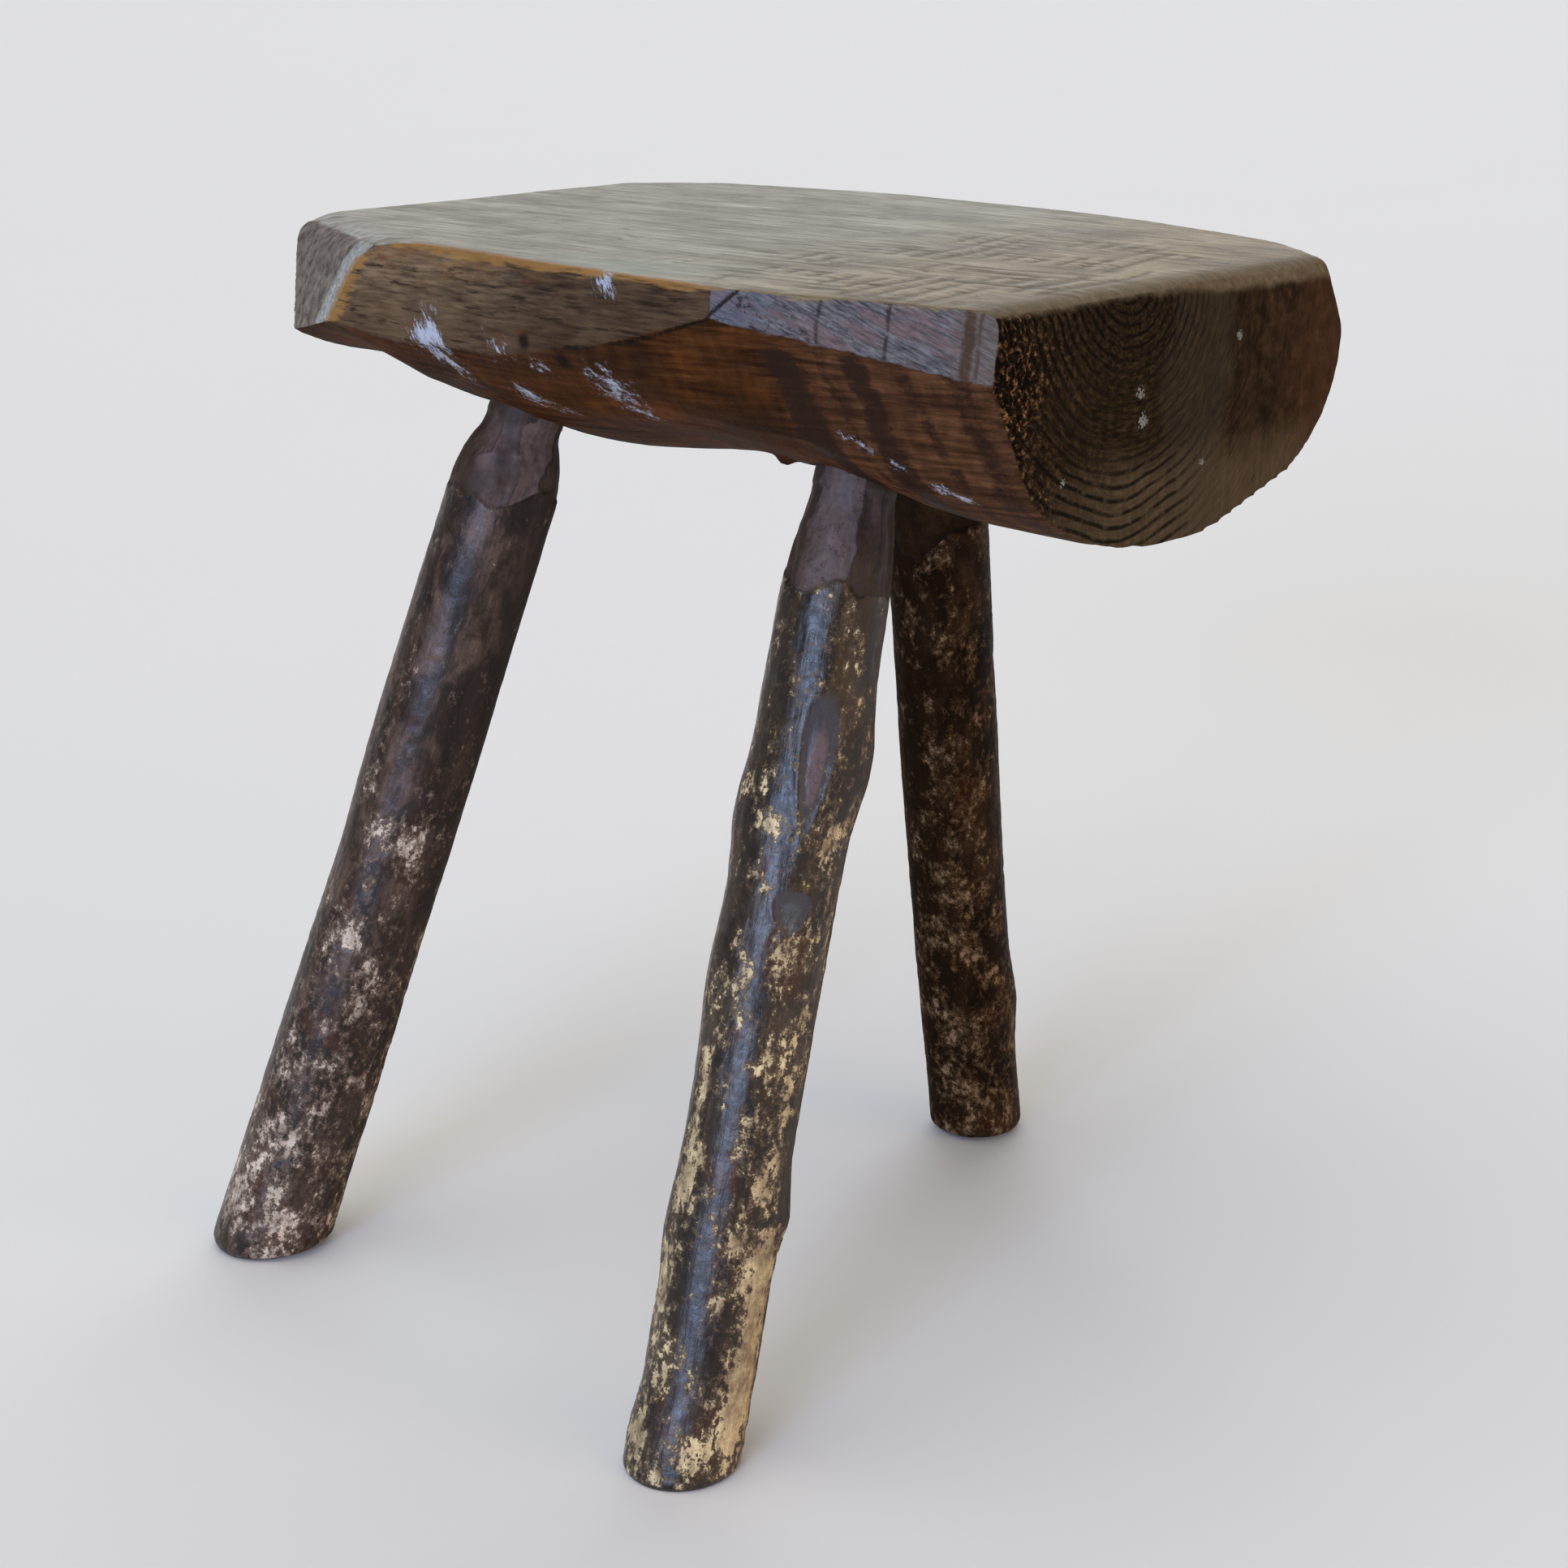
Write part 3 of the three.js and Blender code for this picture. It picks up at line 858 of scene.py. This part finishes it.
def with_marks(s, colour):
    """Cracks, knots, chalky scuffs, painted highlights on the log's lower ridge and specks over every face.
    """
    crack = s.between(s.mask("crack") + (s.speckle - 0.5) * 1.6, 1.0, 0.35, 0.0, 0.85)
    colour = s.mix(crack, colour, CRACK_DARK)
    knot = s.between(s.mask("knot") + s.fuzz * 0.3, 0.35, 1.05, 0.0, 0.9)
    colour = s.mix(knot, colour, KNOT_DARK)
    lean = s.turned(CHALK_AND_HIGHLIGHT_LEAN)
    drag = s.streaks(lean, (0.16, 1, 1), 1300, 5, 0.8)
    gaps = s.streaks(lean, (0.5, 1, 1), 260, 4, 0.7)
    broken = (drag - 0.5) * 3.4 + (gaps - 0.5) * 4.0
    # Chalky scuffs, and painted highlights on the log's lower ridge
    chalk_and_highlight = s.between(s.mask("scuff_and_highlight") + broken, 0.5, 1.35) * s.between(s.mask("scuff_and_highlight"), 0.02, 0.3, 0.0, 0.8)
    colour = s.mix(chalk_and_highlight, colour, CHALK_AND_HIGHLIGHT)
    return s.mix(s.between(s.mask("speck") + s.speckle * 2.2, 1.75, 2.0), colour, SPECK_GREY)


def seat_material():
    s = SeatShader("hewn_softwood")
    colour, rough = log_wood(s)
    end = end_wood(s)
    for name, wood, face_rough in (
        ("band", band_wood(s), 0.62),
        ("facet", facet_wood(s), 0.5),
        ("chamfer", chamfer_wood(s), 0.6),
        ("right_end", end, 0.85),
    ):
        colour = s.mix(s.zone(name), colour, wood)
        rough = s.blend(s.zone(name), rough, face_rough)
    colour = s.mix(s.zone("left"), colour, s.mix(0.45, end, (0.10, 0.08, 0.066)))
    top, top_rough = top_wood(s)
    on_top = s.between(s.mask("top") + (s.fuzz - 0.5) * 0.5, 0.15, 0.95)
    colour = with_marks(s, with_worn_rim(s, s.mix(on_top, colour, top)))
    rough = s.blend(on_top, rough, top_rough) + s.between(s.speckle, 0.35, 0.65, -0.06, 0.06)
    height = s.fuzz * 0.5 + s.speckle * 0.2 + s.long_grain * 0.4 - s.mask("hatch") * 0.4
    height = height + s.zone("facet") * (s.fibre * 0.6) + s.zone("right_end") * s.ragged * s.tufts
    return s.finish(colour, rough, height, 0.7 * MM, 0.04)


# ---- Legs ----
LEG_COLUMNS = 168
LEG_ROW_GAP = 0.75 * MM
FOOT_BLEND = 45 * MM
SAMPLE_LOW = 8 * MM
RADIUS_WAVES = 6
CAP_RINGS = 12
RIM_RINGS = 7
SAMPLE_GAP = 3 * MM
SOLE_LEVEL = 0.1 * MM
TENON_TIP = 6 * MM
TENON_RADIUS = 13 * MM
NO_SCAR = 3.0
# Height up leg_front between its two knot scars, which differ in colour
SCAR_SPLIT = 188 * MM

# Lengths in millimetres, bearings in degrees turning from +X. Marks are height, bearing, half height,
# half width in degrees and, for bare marks, strength. "bark" is dark, middle, pale and red.
# The side tone, with the side bearing and half width in degrees, paints shade down one side of each leg;
# leg_front's paler orange side tone is a painted warm rim light.
LEGS = {
    "leg_left": {
        "slot": "bark_left",
        "tenon": 32,
        "bark": ((0.006, 0.003, 0.002), (0.029, 0.014, 0.008), (0.112, 0.066, 0.046), (0.052, 0.014, 0.005)),
        "bare_tones": ((0.110, 0.064, 0.040), (0.27, 0.188, 0.130), (0.70, 0.56, 0.43)),
        "cut_tones": ((0.034, 0.016, 0.008), (0.120, 0.074, 0.062)),
        "painted_side_tone": (0.030, 0.011, 0.003),
        "gloss": 0.34,
        "shine": 0.32,
        "soft": 0.66,
        "rim": 5.0,
        "whittled": 24,
        "flats": (-150, -104, -62, -20, 28, 88, 140),
        "tones": (0.2, 0.3, 0.35, 1.0, 0.0, 0.2, 0.2),
        "bare_low": -0.16,
        "bare_high": -0.98,
        "bare_marks": [(161, -38, 7, 20, 1.4), (123, -56, 5, 14, 1.4), (84, -52, 8, 18, 0.7),
                       (84, -52, 4, 8, -0.9), (47, -66, 9, 20, 0.8), (47, -62, 4, 7, -0.9),
                       (20, -70, 16, 40, 0.45), (95, -92, 14, 14, 0.55), (72, -92, 9, 12, 0.6),
                       (101, -34, 6, 10, 0.6), (83, -33, 6, 9, 0.5), (34, -100, 14, 16, 0.4),
                       (182, -92, 20, 12, 0.5), (180, -22, 16, 10, 0.6), (150, -26, 18, 9, 0.5),
                       (242, 20, 3, 7, 0.9)],
        "scars": [],
        "painted_side_lighting": (35, 42),
        "seed": 100,
    },
    "leg_front": {
        "slot": "bark_front",
        "tenon": 38,
        "bark": ((0.006, 0.003, 0.002), (0.021, 0.012, 0.006), (0.054, 0.033, 0.019), (0.050, 0.014, 0.005)),
        "bare_tones": ((0.105, 0.063, 0.032), (0.25, 0.165, 0.085), (0.72, 0.56, 0.30)),
        "cut_tones": ((0.032, 0.015, 0.008), (0.090, 0.056, 0.047)),
        "painted_side_tone": (0.085, 0.040, 0.008),
        "gloss": 0.30,
        "shine": 0.42,
        "soft": 0.36,
        "rim": 2.6,
        "whittled": 30,
        "flats": (-170, -118, -62, -30, 22, 70, 125),
        "tones": (0.2, 0.1, 0.8, 0.15, 0.0, 0.2, 0.3),
        "bare_low": -0.20,
        "bare_high": -0.50,
        "bare_marks": [(35, 4, 26, 20, 1.3), (60, 4, 20, 15, 1.0), (9, -25, 7, 34, 1.0),
                       (7, -20, 4, 12, -1.3), (9, -101, 9, 18, 0.7), (62, -116, 24, 16, 0.7),
                       (81, -108, 6, 12, 0.9), (91, -101, 7, 10, 0.9), (107, -101, 8, 10, 0.6),
                       (119, -101, 8, 10, 0.9), (145, -96, 10, 10, 0.5), (119, -5, 16, 10, 0.8),
                       (131, -39, 6, 12, 0.5), (154, -25, 6, 20, 0.5), (62, -41, 9, 16, 0.5),
                       (190, -80, 24, 14, 0.4), (195, -6, 22, 14, 0.4), (150, -30, 28, 18, 0.2),
                       (88, -20, 20, 24, 0.35), (45, -72, 34, 18, -0.6), (95, -72, 24, 20, -0.4)],
        "scars": [(216, -40, 24, 24), (172, -39, 8, 26)],
        "painted_side_lighting": (45, 30),
        "seed": 200,
    },
    "leg_back": {
        "slot": "bark_back",
        "tenon": 38,
        "bark": ((0.006, 0.003, 0.001), (0.018, 0.008, 0.003), (0.044, 0.022, 0.010), (0.036, 0.013, 0.004)),
        "bare_tones": ((0.070, 0.037, 0.016), (0.15, 0.088, 0.043), (0.30, 0.195, 0.110)),
        "cut_tones": ((0.018, 0.009, 0.004), (0.042, 0.020, 0.007)),
        "painted_side_tone": (0.018, 0.008, 0.002),
        "gloss": 0.5,
        "shine": 0.04,
        "soft": 0.60,
        "rim": 5.0,
        "whittled": 30,
        "flats": (-160, -110, -60, -10, 45, 95, 150),
        "tones": (0.3, 0.2, 0.4, 0.1, 0.3, 0.2, 0.3),
        "bare_low": -0.20,
        "bare_high": -0.55,
        "bare_marks": [(18, -50, 24, 50, 0.35), (219, -32, 30, 40, 0.18)],
        "scars": [],
        "painted_side_lighting": (-95, 40),
        "seed": 300,
    },
}


def leg_axis(node):
    """Middle of the sole, directions up the leg and square to it, and length to the tenon's tip."""
    points = coordinates(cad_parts[node].data)
    sole = points[points[:, 2] < SOLE_LEVEL]
    foot = (sole.min(0) + sole.max(0)) / 2
    tip = points[np.argmax(points[:, 2])]
    for _ in range(4):
        up = (tip - foot) / np.linalg.norm(tip - foot)
        along = (points - foot) @ up
        cap = points[along > along.max() - TENON_TIP]
        tip = (cap.min(0) + cap.max(0)) / 2
        tip = foot + up * along.max() + (tip - foot - up * ((tip - foot) @ up))
    turn = Vector((0, 0, 1)).rotation_difference(Vector(up))
    return {
        "foot": foot,
        "up": up,
        "length": (tip - foot) @ up,
        "side": np.array(turn @ Vector((1, 0, 0))),
        "front": np.array(turn @ Vector((0, 1, 0))),
    }


def cad_radius(node, axis, heights, outward):
    """The CAD leg's radius at each height and column, smoothed round the leg."""
    tree = cad_tree(node)
    radius = np.zeros((len(heights), LEG_COLUMNS))
    for row, height in enumerate(heights):
        origin = Vector(axis["foot"] + axis["up"] * height)
        for column, out in enumerate(outward):
            radius[row, column] = tree.ray_cast(origin, Vector(out))[3]
    waves = np.fft.rfft(radius, axis=1)
    waves[:, RADIUS_WAVES:] = 0
    return np.fft.irfft(waves, LEG_COLUMNS, axis=1)


def turned_from(bearing, middle):
    """Angle of each bearing from a middle bearing given in degrees, in degrees, -180 to 180."""
    return (np.degrees(bearing) - middle + 180) % 360 - 180


def flat_shape(bearing, flats):
    """Share of the radius left by knife cuts whose middles have the given bearings."""
    share = np.ones_like(bearing)
    for middle in flats:
        away = np.radians(np.clip(turned_from(bearing, middle), -60, 60))
        share = np.minimum(share, 0.955 / np.cos(away))
    return share


def cut_bearing(style, bearing, local):
    """Bearings bent a little, so that the knife cuts wander and end at different heights."""
    return bearing + np.radians(34 * cloud(local, mm(11, 11, 13), style["seed"] + 9, 3))


def flat_tones(style, bearing):
    """Tone of the knife cut at each place, 0 dark to 1 pale, and degrees to the next cut."""
    away = np.array([np.abs(turned_from(bearing, middle)) for middle in style["flats"]])
    nearest = np.sort(away, axis=0)
    return np.array(style["tones"])[away.argmin(axis=0)], nearest[1] - nearest[0]


def leg_marks(style, height, bearing, local):
    """Bare patches, knife cuts and knot scars of a leg, at each height and bearing."""
    seed = style["seed"]
    low, high = style["bare_low"], style["bare_high"]
    bare = cloud(local, mm(5.5, 5.5, 9), seed, 4, 0.66) * 1.5
    bare += low + (high - low) * smooth(height / style["neck"], 0.05, 0.95)
    for middle, side, tall, wide, strength in style["bare_marks"]:
        spread = turned_from(bearing, side) / wide
        rise = (height / MM - middle) / tall
        bare += 0.85 * strength * np.exp(-spread ** 2 - rise ** 2)
    edge = style["neck"] - style["whittled"] * MM
    edge += 9 * MM * cloud(local * np.array((1, 1, 0)), 15 * MM, seed + 7, 3, 0.4)
    cut = smooth(height, edge - 0.8 * MM, edge + 0.8 * MM)
    scar = np.full(len(height), NO_SCAR)
    for middle, side, tall, wide in style["scars"]:
        rise = (height / MM - middle) / tall
        narrow = wide * np.clip(0.75 + 0.45 * rise, 0.35, 1.1)
        scar = np.minimum(scar, np.hypot(turned_from(bearing, side) / narrow, rise))
    return bare, cut, scar


def leg_relief(style, height, bearing, local, bare, cut, scar):
    """Height of bark, bare patches, cuts and scars over the smooth leg."""
    seed = style["seed"] + 20
    neck = style["neck"]
    swell = 0.5 * MM * cloud(local, mm(16, 16, 34), seed, 2)
    fissure = cloud(local, mm(1.6, 1.6, 16), seed + 3, 3)
    pimple = cloud(local, 3.2 * MM, seed + 6, 3)
    bark = swell + 0.12 * MM * fissure + 0.16 * MM * pimple
    bark -= 0.25 * MM * smooth(bare, -0.10, 0.20)
    knife = flat_shape(bearing, style["flats"])
    fade = 1 - smooth(height, neck - 9 * MM, neck - 1 * MM)
    cutting = -0.25 * MM + (knife - 1) * 15 * MM * fade + 0.10 * MM * fissure
    cutting = np.where(height > neck - 1.5 * MM, 0.0, cutting)
    relief = bark * (1 - cut) + cutting * cut
    collar = np.exp(-((scar - 1) / 0.22) ** 2)
    inside = 1 - smooth(scar, 0.5, 0.95)
    return relief + (0.4 * collar - 0.4 * inside) * MM * (1 - cut)


def between_rings(low, high):
    """Quads that join two rings of vertices."""
    return list(zip(low, np.roll(low, -1), np.roll(high, -1), high))


def closed_tube(points, columns):
    """Vertices and faces of a tube made of rings, each end closed by smaller and smaller rings."""
    rings = np.arange(len(points)).reshape(-1, columns)
    faces = []
    for low, high in zip(rings, rings[1:]):
        faces += between_rings(low, high)
    vertices = list(points)
    for border, turned in ((rings[0], True), (rings[-1], False)):
        rim = points[border]
        middle = rim.mean(axis=0)
        previous = border
        cap = []
        for ring in range(1, CAP_RINGS):
            share = ring / CAP_RINGS
            current = np.arange(columns) + len(vertices)
            vertices.extend(rim * (1 - share) + middle * share)
            cap += between_rings(previous, current)
            previous = current
        centre = np.full(columns, len(vertices))
        vertices.append(middle)
        cap += list(zip(previous, np.roll(previous, -1), centre))
        faces += [face[::-1] for face in cap] if turned else cap
    return np.array(vertices), [tuple(int(i) for i in face) for face in faces]


def build_leg(node, axis, material):
    style = dict(LEGS[node])
    style["neck"] = axis["length"] - style["tenon"] * MM
    rim = style["rim"] * MM
    bearings = np.arange(LEG_COLUMNS) * 2 * math.pi / LEG_COLUMNS
    outward = np.outer(np.cos(bearings), axis["side"]) + np.outer(np.sin(bearings), axis["front"])
    sampled = np.arange(SAMPLE_LOW, axis["length"] - 1 * MM, SAMPLE_GAP)
    table = cad_radius(node, axis, sampled, outward)

    # Rings as a lift above the sole and an inset: a rounded rim, then even rows
    arcs = np.linspace(0, math.pi / 2, RIM_RINGS)[:-1]
    rings = [(rim * (1 - math.cos(a)), rim * (1 - math.sin(a))) for a in arcs]
    rings += [(row, 0.0) for row in np.arange(rim, axis["length"], LEG_ROW_GAP)]
    sole_height = -table[0] * outward[:, 2] / axis["up"][2]
    height, radius = [], []
    for lift, inset in rings:
        level = lift + sole_height * (1 - smooth(lift, 0, FOOT_BLEND))
        height.append(level)
        radius.append([np.interp(h, sampled, table[:, i]) - inset for i, h in enumerate(level)])
    height, radius = np.concatenate(height), np.concatenate(radius)
    bearing = np.tile(bearings, len(rings))
    lift = np.repeat([ring[0] for ring in rings], LEG_COLUMNS)

    local = np.stack([radius * np.cos(bearing), radius * np.sin(bearing), height], axis=1)
    bare, cut, scar = leg_marks(style, height, bearing, local)
    bent = cut_bearing(style, bearing, local)
    tone, seam = flat_tones(style, bent)
    relief = leg_relief(style, height, bent, local, bare, cut, scar) * smooth(lift, 0, 3 * MM)
    out = np.tile(outward, (len(rings), 1))
    points = axis["foot"] + np.outer(height, axis["up"]) + out * (radius + relief)[:, None]
    # Painted shade down one side of the leg, about this bearing
    side, wide = style["painted_side_lighting"]

    points, faces = closed_tube(points, LEG_COLUMNS)
    points[:, 2] = np.maximum(points[:, 2], 0)
    mesh = bpy.data.meshes.new(node)
    mesh.from_pydata(points.tolist(), [], faces)
    off = points - axis["foot"]
    store(mesh, "grain", np.stack([off @ axis[name] for name in ("side", "front", "up")], axis=1))
    for name, values, on_caps in (
        ("bare", bare, 0.0),
        ("cut", cut, 0.0),
        ("scar", scar, NO_SCAR),
        ("tone", tone, 0.3),
        ("seam", seam, 90.0),
        ("painted_side_lighting", np.exp(-(turned_from(bearing, side) / wide) ** 2), 0.0),
        ("sole", 1 - smooth(lift, 0, 4 * MM), 1.0),
    ):
        store(mesh, name, np.append(values, np.full(len(points) - len(values), on_caps)))
    return new_piece(node + "_wood", mesh, node, material)


# ---- Leg material ----
LIP_DARK = (0.010, 0.007, 0.007)
SCAR_RIM = (0.050, 0.044, 0.049)
LOWER_SCAR = (0.072, 0.076, 0.074)
UPPER_SCAR = (0.125, 0.085, 0.085)
SOLE_BROWN_AND_CONTACT_SHADE = (0.028, 0.017, 0.013)


class BarkShader(Shader):
    """A leg's shader, with the patterns that its bark and its bare wood share."""

    def __init__(self, name):
        super().__init__(name)
        self.grain = self.vector("grain")
        self.long_grain = self.streaks(self.grain, (1, 1, 0.1), 640, 6, 0.62)
        self.fuzz = self.noise(self.grain, 360, 5, 0.68)
        self.speckle = self.noise(self.grain, 1500, 3, 0.7)
        self.patch = self.streaks(self.grain, (1, 1, 0.45), 95, 6, 0.66, 0.4)
        self.veins = self.grey(self.long_grain, 0.34, 0.66, 0.22, 0.72)
        self.pits = self.between(self.speckle, 0.44, 0.36)


def bark_wood(s, style):
    """Bark in brown and reddish patches, darkest in its pits, with painted shade and painted warm rim light
    down one side.
    """
    dark, mid, light, red = style["bark"]
    colour = s.ramp(s.patch, 0.36, 0.64, dark, mid, light)
    reddish = s.between(s.streaks(s.grain, (1, 1, 0.6), 60, 4, 0.6), 0.55, 0.63, 0.0, 0.8)
    colour = s.overlay(0.55, s.mix(reddish, colour, red), s.veins)
    colour = s.mix(s.pits * 0.6, colour, dark)
    # Painted shade and painted warm rim light down one side
    painted_side_share = s.mask("painted_side_lighting") * s.between(s.patch, 0.3, 0.7, 0.65, 0.95)
    return s.mix(painted_side_share, colour, s.mix(s.long_grain, dark, style["painted_side_tone"]))


def bare_wood(s, style):
    """Pale wood where the bark has flaked off."""
    thin, brown, pale = style["bare_tones"]
    tone = s.blend(0.5, s.patch, s.noise(s.grain, 210, 3, 0.6))
    colour = s.overlay(0.5, s.ramp(tone, 0.40, 0.60, brown, pale), s.veins)
    return s.mix(s.pits * 0.5, colour, thin)


def cut_wood(s, style):
    """Whittled wood at the top of the leg, each knife cut in its own tone."""
    carved = s.streaks(s.grain, (1, 1, 0.5), 85, 4, 0.5)
    tone = s.mask("tone") + (carved - 0.5) * 2.2
    colour = s.mix(s.between(tone, 0.1, 0.9), *style["cut_tones"])
    colour = s.overlay(0.55, colour, s.grey(s.fuzz, 0.36, 0.64, 0.25, 0.75))
    return s.overlay(0.35, colour, s.veins)


def with_scars(s, colour):
    """Knot scars with a grey rim, and the brown sole with painted contact shade on its rounded bottom rim.
    """
    scar = s.mask("scar") + (s.fuzz - 0.5) * 0.5
    colour = s.mix(s.between(scar, 1.0, 0.8, 0.0, 0.8), colour, SCAR_RIM)
    above = s.between(s.dot(s.grain, (0, 0, 1)), SCAR_SPLIT - 2 * MM, SCAR_SPLIT + 2 * MM)
    inside = s.between(scar, 0.6, 0.35, 0.0, 0.9)
    colour = s.mix(inside, colour, s.mix(above, LOWER_SCAR, UPPER_SCAR))
    # Brown sole, and painted contact shade on the bottom few millimetres of the leg
    return s.mix(s.between(s.mask("sole") + s.fuzz * 0.4, 0.8, 1.1), colour, SOLE_BROWN_AND_CONTACT_SHADE)


def bark_material(style):
    s = BarkShader(style["slot"])
    spots = s.streaks(s.grain, (1, 1, 0.75), 480, 3, 0.6)
    edge = s.mask("bare") + (spots - 0.5) * 3.2 + (s.speckle - 0.5) * 2.0
    colour = s.mix(s.between(edge, -0.40, 0.0) * 0.7, bark_wood(s, style), style["bare_tones"][0])
    bare = s.between(edge, 0.04, 0.04 + style["soft"])
    colour = s.mix(bare, colour, bare_wood(s, style))
    cut = s.between(s.mask("cut"), 0.3, 0.7)
    colour = s.mix(cut, colour, cut_wood(s, style))

    # Dark lines between the knife cuts and where they meet the bark
    seam = s.between(s.mask("seam"), 7.0, 1.0, 0.0, 0.7) * s.between(s.patch, 0.42, 0.54)
    lip = s.between(s.mask("cut"), 0.05, 0.4) * s.between(s.mask("cut"), 0.95, 0.6)
    lip = lip * s.between(s.noise(s.grain, 70, 2), 0.42, 0.56)
    colour = with_scars(s, s.mix(s.math("MAXIMUM", lip * 0.85, seam * cut), colour, LIP_DARK))

    gloss = style["gloss"]
    rough = s.blend(bare, s.between(s.fuzz, 0.35, 0.65, gloss - 0.06, gloss + 0.1), 0.5)
    rough = s.blend(s.mask("painted_side_lighting"), s.blend(cut, rough, 0.58), 0.9)
    height = s.fuzz * 0.5 + s.long_grain * 0.45 - bare * 0.5
    return s.finish(colour, rough, height, 0.35 * MM, style["shine"])


# ---- Stage ----
def direction(azimuth, elevation):
    """Unit vector towards a place seen at that azimuth (0 is the -Y side) and elevation."""
    a, e = math.radians(azimuth), math.radians(elevation)
    return Vector((math.sin(a) * math.cos(e), -math.cos(a) * math.cos(e), math.sin(e)))


def add_aimed(name, data, place, aim):
    thing = bpy.data.objects.new(name, data)
    bpy.context.scene.collection.objects.link(thing)
    thing.location = place
    thing.rotation_euler = (aim - place).to_track_quat("-Z", "Y").to_euler()
    return thing


def add_camera(middle):
    camera = bpy.data.cameras.new("camera")
    camera.lens = CAMERA_LENS
    camera.clip_start = 0.01
    camera.clip_end = 100
    aim = middle + CAMERA_AIM
    place = aim + direction(CAMERA_AZIMUTH, CAMERA_ELEVATION) * CAMERA_DISTANCE
    bpy.context.scene.camera = add_aimed("camera", camera, place, aim)


def add_lights(middle):
    for name, (azimuth, elevation, strength, width, colour) in LIGHTS.items():
        lamp = bpy.data.lights.new(name, "SUN")
        lamp.energy = strength
        lamp.angle = math.radians(width)
        lamp.color = colour
        add_aimed(name, lamp, middle + direction(azimuth, elevation), middle)


def add_world():
    """A dim even light all round, and a pale backdrop that only the camera sees."""
    world = bpy.data.worlds.new("studio")
    bpy.context.scene.world = world
    world.use_nodes = True
    nodes = world.node_tree.nodes
    light = nodes["Background"]
    light.inputs["Color"].default_value = (1, 1, 1, 1)
    light.inputs["Strength"].default_value = WORLD_STRENGTH
    backdrop = nodes.new("ShaderNodeBackground")
    backdrop.inputs["Color"].default_value = (*BACKDROP_COLOUR, 1)
    to_camera = nodes.new("ShaderNodeLightPath").outputs["Is Camera Ray"]
    both = nodes.new("ShaderNodeMixShader")
    for source, target in zip((to_camera, light.outputs[0], backdrop.outputs[0]), both.inputs):
        world.node_tree.links.new(source, target)
    world.node_tree.links.new(both.outputs[0], nodes["World Output"].inputs["Surface"])


def add_floor(level):
    mesh = bpy.data.meshes.new("floor")
    corners = [(-1, -1), (1, -1), (1, 1), (-1, 1)]
    mesh.from_pydata([(x * FLOOR_HALF, y * FLOOR_HALF, level) for x, y in corners], [], [(0, 1, 2, 3)])
    floor = bpy.data.objects.new("floor", mesh)
    bpy.context.scene.collection.objects.link(floor)
    paint = Shader("pale_floor")
    tone = paint.noise(paint.place, 3, 2)
    shade = paint.between(tone, 0.3, 0.7, 0.88, 0.92)
    mesh.materials.append(paint.finish(FLOOR_COLOUR, shade, tone, 0.1 * MM))


def add_stage():
    low, high = CAD_BOX
    middle = (low + high) / 2
    add_camera(middle)
    add_lights(middle)
    add_world()
    add_floor(low.z)
    bpy.context.scene.view_settings.view_transform = "Standard"


# ---- The whole stool ----
AXES = {node: leg_axis(node) for node in LEGS}
add_stage()
build_seat(seat_material(), AXES)
for node, style in LEGS.items():
    build_leg(node, AXES[node], bark_material(style))
